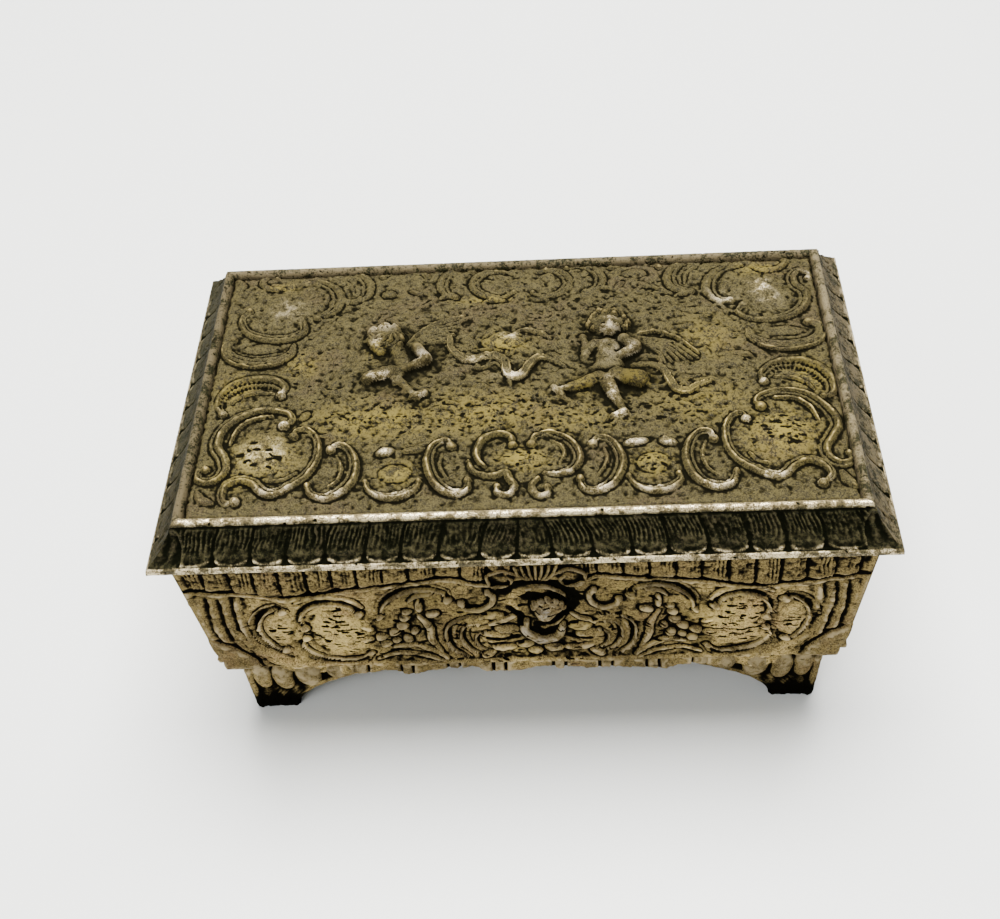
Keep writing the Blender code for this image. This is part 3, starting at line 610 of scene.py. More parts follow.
def make_plaque_relief():
    relief = Relief((plaque_low[0] - DRAWN_X) / DRAWN_SCALE, (plaque_high[0] - DRAWN_X) / DRAWN_SCALE,
                    plaque_low[1] - DRAWN_Y, plaque_high[1] - DRAWN_Y, seed=11)
    middle = np.exp(-((relief.X / 38) ** 6 + ((relief.Y - 1) / 14) ** 6))
    cloud_swirls(relief, 170, (-34, -13), (34, 17))
    cloud_swirls(relief, 50, (-40, 14), (38, 21))
    for x in (-30, -22, -13, -4, 6, 22, 31):                             # rows of scalloped cloud edges
        for y in (-11.5, -8.0):
            points = [(x + 3 * math.cos(a) + (y + 8) * 0.6, y + 1.9 * math.sin(a))
                      for a in np.linspace(0.4, 2.9, 5)]
            relief.stroke(points, 0.45, 0.36, (0.4, 0.4), "rib", moat=False)
    relief.dome(-3.0, 8.6, 4.0, 2.0, 0.75, 8, power=0.8)                 # drapery over the ribbon
    relief.stroke([(-1.6, 10.4), (0.6, 11.4), (3.4, 10.2), (5.0, 9.0)], 0.6, 0.6, (0.5, 0.4), "rib")
    relief.grain(1.6, 0.05, 0.4 + 0.6 * middle)
    relief.grain(0.7, 0.05, 0.6 + 0.4 * middle)
    draw(relief, PLAQUE_SCROLLS)
    for x, y, rx, ry, height, angle, power in PLAQUE_DOMES:
        relief.dome(x, y, rx, ry, height, angle, power=power, moat=ry < 3)
    relief.hatch([(-50.9, -5.2), (-50.0, -2.4), (-46.4, -0.6), (-42.4, -0.9)], 1.1, 0.75, 0.28)
    relief.hatch([(41.4, -1.2), (44.6, 0.0), (48.2, -1.2), (50.6, -4.6)], 1.1, 0.75, 0.28)
    # ribbons
    relief.stroke([(-12.6, 9.6), (-12.4, 7.2), (-11.0, 5.0), (-9.2, 3.6), (-6.8, 4.3), (-4.6, 4.5),
                   (-2.9, 2.8),
                   (-2.5, 0.4), (-1.3, -0.9), (0.2, -0.2), (1.2, 2.0), (3.0, 3.9), (5.2, 3.2), (7.6, 1.4)],
                  0.80, 1.00, (0.6, 0.3), "ribbon")
    relief.stroke([(-9.8, 2.6), (-7.0, 1.8), (-4.6, 3.0), (-3.4, 1.2)], 0.45, 0.55, (0.4, 0.4), "rib")
    relief.stroke([(-8.8, 6.2), (-5.8, 6.6), (-3.4, 6.0)], 0.4, 0.5, (0.4, 0.4), "rib")
    relief.stroke([(18.8, 1.2), (22.0, 1.2), (24.0, -0.4), (24.8, -2.8), (25.8, -5.0), (27.6, -5.6),
                   (29.4, -4.4),
                   (31.8, -3.2)], 0.70, 0.90, (0.6, 0.3), "ribbon")
    relief.stroke([(26.4, -3.8), (28.2, -2.2), (30.0, -1.6)], 0.35, 0.4, (0.4, 0.4), "rib")
    flying_putto(relief)
    facing_putto(relief)
    for blot in PLAQUE_BLOTS:
        relief.nicks(*blot)
    relief.grain(0.8, 0.050)
    relief.grain(0.42, 0.055)
    relief.finish(0.16)
    edge = np.minimum(np.minimum(relief.X - relief.x[0], relief.x[-1] - relief.X),
                      np.minimum(relief.Y - relief.y[0], relief.y[-1] - relief.Y))
    relief.h -= 0.35 * (1 - smooth_step(edge, 0.0, 0.5))
    for x, y, rx, ry, amount in PLAQUE_BRASS:
        relief.glow(x, y, rx, ry, amount)
    for x, y, rx, ry, amount in PLAQUE_WEAR_AND_HIGHLIGHTS:
        relief.glow(x, y, rx, ry, amount, "wear_and_highlight")
    return relief


# ---------------------------------------------------------------- meshes and materials

def mesh_object(name, points, faces_4, caps, material, attributes, smooth_4):
    """A closed mesh from an array of points in mm, quads, and a few many-sided caps."""
    mesh = bpy.data.meshes.new(name)
    loops = np.concatenate([faces_4.ravel()] + [np.array(c) for c in caps]).astype(np.int32)
    totals = np.array([4] * len(faces_4) + [len(c) for c in caps], np.int32)
    starts = np.concatenate([[0], np.cumsum(totals)[:-1]]).astype(np.int32)
    mesh.vertices.add(len(points))
    mesh.vertices.foreach_set("co", (points * MM).astype(np.float32).ravel())
    mesh.loops.add(len(loops))
    mesh.loops.foreach_set("vertex_index", loops)
    mesh.polygons.add(len(totals))
    mesh.polygons.foreach_set("loop_start", starts)
    mesh.update(calc_edges=True)
    mesh.polygons.foreach_set("use_smooth", np.concatenate([smooth_4, np.zeros(len(caps), bool)]))
    for label, values in attributes.items():
        layer = mesh.attributes.new(label, "FLOAT", "POINT")
        layer.data.foreach_set("value", values.astype(np.float32).ravel())
    mesh.materials.append(material)
    mesh.validate()
    made = bpy.data.objects.new(name, mesh)
    bpy.context.scene.collection.objects.link(made)
    return made


def signed_volume(points, faces):
    """Six times the volume inside quads or triangle fans; negative when the faces point inwards."""
    a, b, c = (points[faces[:, k]] for k in range(3))
    total = np.einsum("ij,ij->", a, np.cross(b, c))
    if faces.shape[1] == 4:
        total += np.einsum("ij,ij->", a, np.cross(c, points[faces[:, 3]]))
    return total


def loft_object(name, rings, material, attributes, dense, closed=False):
    """Rings of points (ring, point, xyz) joined into a closed body.

    The first dense points of each ring are relief.
    """
    count, size = rings.shape[:2]
    last = count if closed else count - 1
    r, k = np.meshgrid(np.arange(last), np.arange(size), indexing="ij")
    r2, k2 = (r + 1) % count, (k + 1) % size
    quads = np.stack([r * size + k, r * size + k2, r2 * size + k2, r2 * size + k], axis=-1).reshape(-1, 4)
    smooth = (k < dense - 1).ravel()
    points = rings.reshape(-1, 3)
    volume = signed_volume(points, quads)
    caps = []
    if not closed:
        caps = [list(range(size))[::-1], list(range((count - 1) * size, count * size))]
        for cap in caps:
            fan = np.array([(cap[0], cap[i], cap[i + 1]) for i in range(1, size - 1)])
            volume += signed_volume(points, fan)
    if volume < 0:
        quads = quads[:, ::-1]
        caps = [cap[::-1] for cap in caps]
    return mesh_object(name, points, quads, caps, material, attributes, smooth)


def hollows(height, fine, broad):
    """How far each point stands above (+) or below (-) its surroundings, in mm."""
    return 0.65 * (height - blur(height, fine / STEP)) + 0.35 * (height - blur(height, broad / STEP))


def openness(height, reach=1.6, depth=0.9):
    """1 on open ground, falling to 0 where the surroundings rise by depth mm."""
    around = blur(height, reach / STEP)
    rise = np.sqrt(np.maximum(blur((height - around) ** 2, reach / STEP), 0)) + np.maximum(around - height, 0)
    return np.clip(1 - rise / depth, 0, 1)


def link(tree, start, end):
    tree.links.new(start, end)


class Shader:
    """Small helpers for one material's nodes."""

    def __init__(self, name):
        self.material = bpy.data.materials.new(name)
        self.material.use_nodes = True
        self.tree = self.material.node_tree
        self.bsdf = self.tree.nodes["Principled BSDF"]
        self.coords = self.tree.nodes.new("ShaderNodeTexCoord").outputs["Object"]

    def attribute(self, name):
        node = self.tree.nodes.new("ShaderNodeAttribute")
        node.attribute_name = name
        return node.outputs["Fac"]

    def noise(self, scale, detail=3.0, roughness=0.55, stretch=None):
        node = self.tree.nodes.new("ShaderNodeTexNoise")
        node.inputs["Scale"].default_value = scale
        node.inputs["Detail"].default_value = detail
        node.inputs["Roughness"].default_value = roughness
        source = self.coords
        if stretch:
            mapping = self.tree.nodes.new("ShaderNodeMapping")
            mapping.inputs["Scale"].default_value = stretch
            link(self.tree, source, mapping.inputs["Vector"])
            source = mapping.outputs["Vector"]
        link(self.tree, source, node.inputs["Vector"])
        return node.outputs["Fac"]

    def scaled(self, value, amount):
        """A 0..1 value centred on 0 and scaled."""
        return self.times(self.math("SUBTRACT", value, 0.5), amount)

    def math(self, operation, a, b=0.0, clamp=False):
        node = self.tree.nodes.new("ShaderNodeMath")
        node.operation = operation
        node.use_clamp = clamp
        for socket, value in zip(node.inputs, (a, b)):
            if isinstance(value, (int, float)):
                socket.default_value = value
            else:
                link(self.tree, value, socket)
        return node.outputs[0]

    def times(self, a, b, clamp=False):
        return self.math("MULTIPLY", a, b, clamp)

    def plus(self, a, b):
        return self.math("ADD", a, b)

    def spread(self, value, low, high, out_low=0.0, out_high=1.0):
        """Smooth step of value between low and high."""
        node = self.tree.nodes.new("ShaderNodeMapRange")
        node.interpolation_type = "SMOOTHSTEP"
        node.inputs["From Min"].default_value = low
        node.inputs["From Max"].default_value = high
        node.inputs["To Min"].default_value = out_low
        node.inputs["To Max"].default_value = out_high
        link(self.tree, value, node.inputs["Value"])
        return node.outputs["Result"]

    def mix(self, factor, a, b):
        node = self.tree.nodes.new("ShaderNodeMix")
        node.data_type = "RGBA"
        link(self.tree, factor, node.inputs["Factor"])
        for socket, value in ((node.inputs["A"], a), (node.inputs["B"], b)):
            if isinstance(value, tuple):
                socket.default_value = (*value, 1.0)
            else:
                link(self.tree, value, socket)
        return node.outputs["Result"]

    def bump(self, height, distance, strength=1.0):
        node = self.tree.nodes.new("ShaderNodeBump")
        node.inputs["Strength"].default_value = strength
        node.inputs["Distance"].default_value = distance
        link(self.tree, height, node.inputs["Height"])
        link(self.tree, node.outputs["Normal"], self.bsdf.inputs["Normal"])


def srgb(r, g, b):
    """0..255 display values to scene-linear."""
    return tuple((v / 255 / 12.92) if v <= 10 else ((v / 255 + 0.055) / 1.055) ** 2.4 for v in (r, g, b))


def casting_metal(name, ground, metal, glint, brass, crest_low, crest_high, rust, crevice_and_shade, smooth_rough,
                  pit_share=0.66):
    """Aged plate: black hollows, a patinated grainy ground, worn bright crests and brassy patches.

    cavity is the height over the surroundings in mm, shade is 1 in the open and 0 deep among high relief,
    wear_and_highlight (rubbed wear and painted highlights) and brass are patches from 0 to 1, and
    grime_and_shade from 0 to 1 (dirt and painted shade) holds back the wear.
    """
    s = Shader(name)
    grains = s.noise(2400, 3, 0.6)
    speck = s.noise(5200, 2, 0.5)
    mottle = s.noise(460, 4, 0.62)
    broad = s.noise(90, 3, 0.6)
    streaks = s.noise(620, 3, 0.6, stretch=(0.32, 0.32, 1.5))
    grime_and_shade = s.attribute("grime_and_shade")
    level = s.plus(s.attribute("cavity"), s.scaled(grains, 0.11))
    level = s.plus(level, s.scaled(mottle, 0.10))
    open_part = s.spread(level, -0.17, 0.0)
    crest = s.times(s.spread(level, crest_low, crest_high), s.spread(mottle, 0.38, 0.58, 0.12, 1.0))
    crest = s.times(crest, s.math("SUBTRACT", 1.0, s.times(grime_and_shade, 0.65)))
    worn = s.spread(s.plus(mottle, s.scaled(grains, 0.5)), 0.34, 0.60, 0.18, 1.0)
    # rubbed wear and painted highlights, both shown in the glint colour
    polish_and_highlight = s.times(s.attribute("wear_and_highlight"), worn, clamp=True)
    polish_and_highlight = s.times(polish_and_highlight, s.spread(speck, 0.38, 0.46, 0.2, 1.0))
    bright = s.math("MAXIMUM", crest, polish_and_highlight)
    shine = s.times(polish_and_highlight, s.spread(s.plus(mottle, s.scaled(speck, 0.6)), 0.46, 0.60, 0.05, 1.0))
    brass_mask = s.times(s.attribute("brass"), s.spread(s.plus(mottle, s.scaled(grains, 0.9)), 0.40, 0.56))
    tone = s.mix(s.spread(mottle, 0.34, 0.62), tuple(v * 0.55 for v in ground),
                 tuple(v * 1.25 for v in ground))
    tone = s.mix(s.spread(broad, 0.52, 0.68), tone, rust)
    tone = s.mix(s.spread(grains, 0.42, 0.54, 0.85, 0.0), tone, tuple(v * 0.20 for v in ground))
    tone = s.mix(s.spread(speck, 0.50, 0.60, 0.0, 0.75), tone, tuple(min(1.0, v * 1.9) for v in ground))
    tone = s.mix(brass_mask, tone, brass)
    silver = s.mix(brass_mask, metal, tuple(min(1.0, v * 1.6) for v in brass))
    color = s.mix(bright, tone, silver)
    color = s.mix(shine, color, glint)
    pits = s.spread(streaks, pit_share, pit_share + 0.05, 1.0, 0.0)
    clear = s.times(open_part, s.plus(0.25, s.times(pits, 0.75)))
    clear = s.times(clear, s.spread(s.attribute("shade"), 0.0, 0.8, 0.35, 1.0))
    color = s.mix(clear, crevice_and_shade, color)
    link(s.tree, color, s.bsdf.inputs["Base Color"])
    metallic = s.times(clear, s.plus(0.04, s.times(bright, 0.86)))
    link(s.tree, metallic, s.bsdf.inputs["Metallic"])
    link(s.tree, s.times(clear, 0.10), s.bsdf.inputs["Specular IOR Level"])
    rough = s.math("SUBTRACT", 0.66,
                   s.times(s.math("MAXIMUM", shine, s.times(bright, 0.6)), 0.66 - smooth_rough))
    rough = s.plus(rough, s.scaled(grains, 0.30))
    rough = s.plus(rough, s.times(s.math("SUBTRACT", 1.0, clear), 0.25))
    link(s.tree, rough, s.bsdf.inputs["Roughness"])
    grain = s.plus(s.times(grains, 0.7), s.times(speck, 0.3))
    grain = s.plus(grain, s.times(pits, 0.30))
    s.bump(grain, 0.00022, 0.9)
    return s.material


plaque_metal = casting_metal(
    "plaque_metal", ground=srgb(58, 52, 29), metal=srgb(154, 136, 86), glint=srgb(232, 218, 188),
    brass=srgb(108, 95, 42), rust=srgb(58, 49, 32), crevice_and_shade=srgb(14, 13, 7),
    crest_low=0.24, crest_high=0.56, smooth_rough=0.24, pit_share=0.71,
)
body_metal = casting_metal(
    "body_metal", ground=srgb(148, 128, 80), metal=srgb(222, 200, 152), glint=srgb(236, 224, 204),
    brass=srgb(184, 162, 92), rust=srgb(146, 120, 82), crevice_and_shade=srgb(9, 8, 5),
    crest_low=0.08, crest_high=0.34, smooth_rough=0.28, pit_share=0.63,
)
lid_metal = casting_metal(
    "lid_metal", ground=srgb(40, 39, 19), metal=srgb(148, 130, 92), glint=srgb(240, 223, 180),
    brass=srgb(92, 81, 58), rust=srgb(42, 37, 24), crevice_and_shade=srgb(9, 10, 5),
    crest_low=0.10, crest_high=0.36, smooth_rough=0.24, pit_share=0.69,
)


def make_plaque():
    relief = make_plaque_relief()
    h = relief.h
    cavity = 1.25 * hollows(h, 0.32, 1.1) - 0.4 * relief.crevice_and_shade
    wear_and_highlight = relief.wear_and_highlight * (0.1 + 0.9 * smooth_step(h, 0.2, 0.6))
    # painted shade: the crests' highlights are held back towards the back of the plaque
    grime_and_shade = 0.85 * smooth_step(relief.Y, -17, 6)
    nx, ny = len(relief.x), len(relief.y)
    rings = np.zeros((nx, ny + 2, 3))
    rings[:, :ny, 0] = relief.X.T
    rings[:, :ny, 1] = relief.Y.T
    rings[:, :ny, 2] = PLAQUE_FIELD_Z + h.T
    rings[:, ny:, 0] = relief.x[:, None]
    rings[:, ny, 1], rings[:, ny + 1, 1] = relief.y[-1], relief.y[0]
    rings *= (DRAWN_SCALE, 1, 1)
    rings += (DRAWN_X, DRAWN_Y, 0)
    rings[:, ny:, 2] = plaque_low[2]

    def padded(field):
        return np.hstack([field.T, np.zeros((nx, 2))])

    attributes = {"cavity": padded(cavity), "brass": padded(relief.brass), "wear_and_highlight": padded(wear_and_highlight),
                  "shade": padded(openness(h)), "grime_and_shade": padded(grime_and_shade)}
    return loft_object("plaque_casting", rings, plaque_metal, attributes, ny)


plaque = make_plaque()
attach(plaque, "lid")
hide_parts("lid_plaque")


# ---------------------------------------------------------------- the lid's frame

TONGUE_PITCH = 6.1
COVE_LOW = RIM_Z + 1.22
COVE_HIGH = BEAD_TOP_Z - 1.05
COVE_IN, COVE_OUT = 4.5, 0.42           # insets of the cove's top and bottom
BEAD_INSET, BEAD_HALF = 5.25, 0.68
BEAD_WEAR_AND_HIGHLIGHT = (1.30, 0.08, 0.03, 0.03)     # front, right, back, left: worn, with a painted highlight along the bead's top, brightest at the front
# the rim's face: worn, with a painted highlight, brightest at the front
RIM_WEAR_AND_HIGHLIGHT = (0.60, 0.45, 0.2, 0.25)
FRAME_SIDE_SHADE = (1.0, 0.55, 0.75, 0.40)    # painted shade: the sides and the back are darker
FRAME_INNER = [(6.05, 53.0), (8.5, 53.0), (8.5, 51.8), (6.05, 50.2), (5.1, RIM_Z)]


def frame_profile():
    """Outer run of the frame's section, from the rim's lower edge up over the cove and the bead."""
    points = [(0.15, RIM_Z), (0.0, RIM_Z + 0.15), (0.0, RIM_Z + 0.95), (0.10, RIM_Z + 1.12),
              (0.26, RIM_Z + 1.19),
              (COVE_OUT, RIM_Z + 1.2)]
    for t in np.linspace(0.03, 1, 14):
        turn = 0.5 * math.pi * t
        straight = np.array([COVE_OUT + (COVE_IN - COVE_OUT) * t, COVE_LOW + (COVE_HIGH - COVE_LOW) * t])
        hollow = np.array([COVE_OUT + (COVE_IN - COVE_OUT) * math.sin(turn),
                           COVE_LOW + (COVE_HIGH - COVE_LOW) * (1 - math.cos(turn))])
        points.append(tuple(0.62 * straight + 0.38 * hollow))
    middle_z = BEAD_TOP_Z - BEAD_HALF
    for turn in np.linspace(math.radians(-20), math.radians(95), 10):
        points.append((BEAD_INSET - BEAD_HALF * math.cos(turn), middle_z + BEAD_HALF * math.sin(turn)))
    points += [(5.62, BEAD_TOP_Z - 0.12), (5.92, BEAD_TOP_Z - 0.40), (6.16, BEAD_TOP_Z - 0.80),
               (6.22, 53.9), (6.15, 53.4)]
    return np.array(points)


def resample(points, step):
    along = np.concatenate([[0], np.cumsum(np.linalg.norm(np.diff(points, axis=0), axis=1))])
    even = np.linspace(0, along[-1], int(round(along[-1] / step)) + 1)
    return np.stack([np.interp(even, along, points[:, k]) for k in range(points.shape[1])], axis=1)


def tongues(x, w, half, rng):
    """Height of the cove's tongues: x along the side, w from 0 at the rim to 1 under the bead."""
    lean = -np.sign(x) * 1.5 * w ** 1.5
    run = x + 0.6 - lean + 0.25 * np.sin(0.31 * x)
    cell = np.floor(run / TONGUE_PITCH)
    a = 2 * (run / TONGUE_PITCH - cell) - 1
    low = -0.05 + 0.17 * (1 - np.sqrt(np.clip(1 - a * a, 0, 1)))
    body = smooth_step(w - low, 0.0, 0.05)
    h = body * (0.03 + 0.38 * np.sqrt(np.clip(1 - 0.96 * a * a, 0, 1)) * (1 - 0.4 * w)
                * smooth_step(w, -0.02, 0.25))
    gap = (1 - np.abs(a)) * TONGUE_PITCH / 2
    h -= 0.16 * np.exp(-(gap / 0.22) ** 2) * smooth_step(w, 0.02, 0.3) * (1 - 0.6 * smooth_step(w, 0.3, 0.7))
    h -= 0.30 * np.exp(-(gap / 0.55) ** 2) * smooth_step(0.22 - w, 0.0, 0.10)
    wobble = blur(rng.standard_normal(x.shape), 5)
    wobble /= wobble.std()
    reed = 0.5 + 0.5 * np.cos(2 * math.pi * (run / 0.72 + 0.30 * wobble + 0.12 * np.sin(9 * w)))
    depth = 0.78 + 0.22 * np.sin(2.1 * cell + 0.7)
    strength = smooth_step(w, 0.20 + 0.10 * np.sin(3.7 * cell), 0.45) * smooth_step(1.0 - w, 0.0,
                                                                                    0.08) * depth
    patchy = blur(rng.standard_normal(x.shape), 9)
    strength = strength * np.clip(0.70 + 0.35 * patchy / patchy.std(), 0.15, 1.2)
    h += 0.23 * strength * (reed ** 2.6 - 0.32)
    lip = np.exp(-((w - low - 0.075) / 0.030) ** 2) * smooth_step(1 - np.abs(a), 0.0, 0.12)
    h += 0.11 * lip * body
    edge = half - np.abs(x)
    leaf_edge = 4.8 * (1 - w) ** 0.8 + 0.6
    inside = smooth_step(leaf_edge - edge, 0.0, 0.25)
    veins = 0.10 * np.cos(2 * math.pi * (edge - 0.55 * leaf_edge) / 2.1) * smooth_step(w, 0.08, 0.3)
    h = h * (1 - inside) + (0.20 + veins) * inside
    h += 0.20 * np.exp(-((edge - leaf_edge) / 0.20) ** 2)
    return h, lip * body * (1 - inside)


def make_lid_frame():
    profile = resample(frame_profile(), STEP)
    n = len(profile)
    tangent = np.gradient(profile, axis=0)
    tangent /= np.linalg.norm(tangent, axis=1)[:, None]
    normal = np.stack([-tangent[:, 1], tangent[:, 0]], axis=1)         # outwards and up, as (inset, z)
    w = (profile[:, 1] - COVE_LOW) / (COVE_HIGH - COVE_LOW)
    rising = (profile[:, 0] >= COVE_OUT) & (profile[:, 0] <= COVE_IN + 0.05) & (w <= 1.0)
    on_bead = profile[:, 1] > BEAD_TOP_Z - BEAD_HALF - 0.25
    # the bead's wear and painted highlight gather on its top
    on_top = 0.25 + 0.75 * smooth_step(profile[:, 1], BEAD_TOP_Z - 0.62, BEAD_TOP_Z - 0.22)
    w = np.clip(w, 0, 1)
    inner = np.array(FRAME_INNER)
    names = ("cavity", "wear_and_highlight", "brass", "grime_and_shade", "shade")
    rings, fields = [], {label: [] for label in names}
    rng = np.random.default_rng(23)
    corners = [(-1, -1), (1, -1), (1, 1), (-1, 1)]
    for c in range(4):
        (ax, ay), (bx, by) = corners[c], corners[(c + 1) % 4]
        half = HALF_LENGTH if ay == by else HALF_DEPTH
        count = int(round(2 * half / STEP))
        u = np.linspace(-1, 1, count, endpoint=False)
        along = u[:, None] * (half - profile[None, :, 0])
        W = np.broadcast_to(w, along.shape)
        limit = half - profile[None, :, 0] + 0 * along
        h, lip = tongues(along, W, limit, rng)
        h = h * rising
        rough = blur(rng.standard_normal(h.shape), 1.3)
        rough /= rough.std()
        h += np.where(rising, 0.035, 0.012) * rough
        dents = np.clip(blur(rng.standard_normal(h.shape), 1.1) * 4.2 - 2.0, 0, 1)
        h -= np.where(rising, 0, 0.10) * dents
        cavity = hollows(h, 0.4, 1.0) * np.where(rising, 1.0, 0.6)
        # the ends are smoother than the long sides
        if ay != by:
            h = 0.5 * h
        groove = 0.5 * np.exp(-((profile[:, 1] - COVE_HIGH) / 0.16) ** 2) * (profile[:, 0] < BEAD_INSET - 0.4)
        cavity = cavity - 0.40 * groove - np.where(rising, 0, 0.25) * dents
        cavity = cavity + np.where(rising, -0.13, 0.05)
        inset = profile[None, :, 0] + h * normal[None, :, 0]
        z = profile[None, :, 1] + h * normal[None, :, 1]
        inset = np.hstack([inset, np.broadcast_to(inner[:, 0], (count, len(inner)))])
        z = np.hstack([z, np.broadcast_to(inner[:, 1], (count, len(inner)))])
        reach = u[:, None] * (half - inset)
        x = reach * (bx - ax) / 2 if ay == by else ax * (HALF_LENGTH - inset)
        y = reach * (by - ay) / 2 if ay != by else ay * (HALF_DEPTH - inset)
        rings.append(np.stack([x, y, z], axis=-1))
        blank = np.zeros((count, len(inner)))
        ones = np.ones_like(h)
        grime_and_shade = np.where(rising, 1.0, 0.0) * ones
        plain = np.where(on_bead, BEAD_WEAR_AND_HIGHLIGHT[c] * on_top, RIM_WEAR_AND_HIGHLIGHT[c] * np.where(profile[:, 0] < 0.9, 1.0,
                                                                                0.2))
        wear_and_highlight = np.where(rising, lip * np.where(ay == by, 0.50, 0.20), plain * ones)
        shade = np.where(rising, 0.60 + 0.3 * (1 - W), 1.0) * FRAME_SIDE_SHADE[c]
        # painted shade: the sides and the back are kept from bright crests, so only the front's edges show
        # worn and painted highlights
        if c > 0:
            cavity = np.minimum(cavity + 0.10 * (ay != by), 0.02)
        # brass, and on the right cove a lighter brass tone that stands for a painted sheen
        brass_and_sheen = np.where(rising, 0.20 + 0.7 * (c == 1), 0.8 * (c > 0)) * ones
        for label, value in zip(names, (cavity, wear_and_highlight, brass_and_sheen, grime_and_shade, shade)):
            fields[label].append(np.hstack([value, blank + (label == "shade")]))
    rings = np.concatenate(rings)
    attributes = {label: np.concatenate(values) for label, values in fields.items()}
    return loft_object("lid_frame_casting", rings, lid_metal, attributes, n, closed=True)


lid_frame = make_lid_frame()
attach(lid_frame, "lid")
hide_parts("lid_frame")


# ---------------------------------------------------------------- the walls

WALL_HIGH_Z = wall_high[2]
WALL_LOW_Z = wall_low[2]
WALL_SINK = 0.40                # the ground lies this far inside the CAD face, so that the crests lie on it
WALL_FACE = [(2.5, 47.7), (4.7, 17.2), (4.55, 16.4), (4.7, 15.2), (5.3, 14.3), (5.9, 13.9), (6.1, 13.3),
             (6.2, 10.9)]
WALL_INNER = [(8.6, 10.9), (8.6, 13.6), (7.6, 13.6), (7.6, 16.2), (5.1, 47.7)]
FRIEZE_EDGE = [(0, 39.6), (5, 39.4), (8, 39.6), (10, 40.4), (12, 41.4), (15, 41.5), (18, 40.7), (21, 40.0),
               (27, 39.3),
               (32, 38.6), (35, 37.8), (38, 37.1), (42, 37.1), (45, 37.6), (48, 38.3), (51, 39.0),
               (54, 39.2), (58, 40.0)]
SIDE_EDGE = [(0, 41.2), (5, 40.6), (9, 39.2), (13, 37.9), (17, 37.2), (21, 37.5), (25, 38.6), (30, 39.2),
             (34, 40.0)]

WALL_SCROLLS = [
    ([(-41.8, 32.6), (-43.8, 33.4), (-46.4, 31.6), (-48.0, 28.4), (-48.2, 25.0), (-47.2, 21.8), (-45.6,
     20.0), (-43.9, 20.4)], 1.25, 0.85, (0.6, 0.6), "mould", 0.85, 0.85),
    ([(-39.0, 27.4), (-40.2, 29.4), (-39.1, 32.4), (-36.4, 34.5), (-33.0, 34.9), (-30.2, 33.6), (-28.9,
     31.2)], 1.1, 0.95, (0.6, 0.6), "mould", 0.85, 0.75),
    ([(-39.4, 34.9), (-36.6, 36.4), (-33.0, 36.6), (-30.0, 35.4), (-28.2, 33.0)], 0.7, 0.6, (0.5, 0.4),
     "leaf", 0, 0),
    ([(-39.4, 24.2), (-41.3, 22.4), (-40.6, 19.4), (-38.0, 17.2), (-34.2, 16.2), (-30.6, 16.6), (-28.8,
     18.6)], 1.15, 0.9, (0.6, 0.5), "mould", 0.85, 0.6),
    ([(-25.4, 30.2), (-25.2, 33.0), (-23.0, 36.0), (-19.8, 38.0), (-16.4, 38.4), (-13.6, 37.2), (-13.0,
     34.9)], 1.1, 0.95, (0.5, 0.6), "mould", 0.55, 0.8),
    ([(-20.0, 34.4), (-18.2, 36.2), (-15.6, 36.6)], 0.35, 0.8, (0.4, 0.4), "rib", 0, 0),
    ([(-10.9, 34.0), (-10.2, 32.4), (-8.0, 31.7), (-6.0, 33.0), (-5.3, 35.2), (-6.2, 36.9)], 0.6, 0.95,
     (0.7, 0.6), "rib", 0.65, 0.5),
    ([(-7.7, 29.6), (-10.6, 28.8), (-13.0, 26.6), (-13.9, 23.4), (-13.2, 19.4), (-10.6, 16.6)], 1.0, 0.95,
     (0.5, 0.5), "blade", 0.55, 0),
    ([(-8.4, 27.4), (-10.6, 25.8), (-11.3, 22.8), (-10.3, 19.6), (-8.2, 17.6)], 0.85, 0.9, (0.5, 0.5),
     "blade", 0.4, 0),
    ([(-7.4, 24.4), (-8.8, 22.8), (-8.5, 20.2), (-7.0, 18.6)], 0.65, 0.8, (0.5, 0.5), "blade", 0.3, 0),
    ([(-18.7, 30.0), (-17.3, 26.4), (-17.2, 22.4), (-15.8, 18.2)], 0.8, 0.6, (0.5, 0.3), "leaf", 0, 0),
    ([(-24.4, 20.2), (-21.0, 20.9), (-17.8, 19.2), (-14.8, 16.4)], 0.9, 0.6, (0.4, 0.3), "leaf", 0, 0),
    ([(-27.8, 16.8), (-23.6, 18.2), (-19.6, 17.6), (-15.4, 15.9)], 0.6, 0.55, (0.5, 0.4), "rib", 0, 0),
    ([(-6.4, 27.0), (-4.6, 28.5), (-2.8, 29.2)], 0.5, 0.8, (0.7, 0.5), "rib", 0, 0),
]
WALL_DOMES = [
    (-33.2, 25.6, 5.9, 7.4, 0.75, 0, 0.9), (-44.3, 26.6, 2.5, 4.8, 0.5, 0, 0.9),
    (-26.0, 24.2, 1.15, 1.05, 1.0, 0, 0.5), (-23.5, 25.4, 1.05, 1.05, 1.0, 0, 0.5),
    (-21.8, 27.4, 1.1, 1.1, 1.0, 0, 0.5), (-21.2, 29.7, 0.95, 0.95, 0.9, 0, 0.5),
    (-25.6, 21.6, 1.05, 1.0, 0.9, 0, 0.5), (-21.4, 23.1, 0.8, 1.2, 0.8, 20, 0.5),
    (-19.9, 25.5, 0.65, 0.9, 0.8, 0, 0.5), (-28.4, 26.8, 1.5, 0.7, 0.7, -35, 0.5),
    (-28.9, 23.2, 1.4, 1.2, 0.7, 0, 0.6), (-23.6, 22.6, 0.8, 0.8, 0.8, 0, 0.5),
    (-18.3, 33.0, 0.6, 1.8, 0.8, 0, 0.5), (-16.2, 30.6, 1.3, 1.0, 0.7, 20, 0.5),
    (-20.6, 31.4, 0.9, 0.7, 0.7, 0, 0.5), (-7.2, 17.4, 1.6, 0.9, 0.7, 30, 0.6),
    (-4.8, 19.3, 1.8, 0.9, 0.7, -20, 0.6), (-8.6, 28.0, 2.4, 1.6, 0.35, 0, 0.9),
    (-5.6, 22.6, 2.6, 2.0, 0.4, 0, 0.9),
]
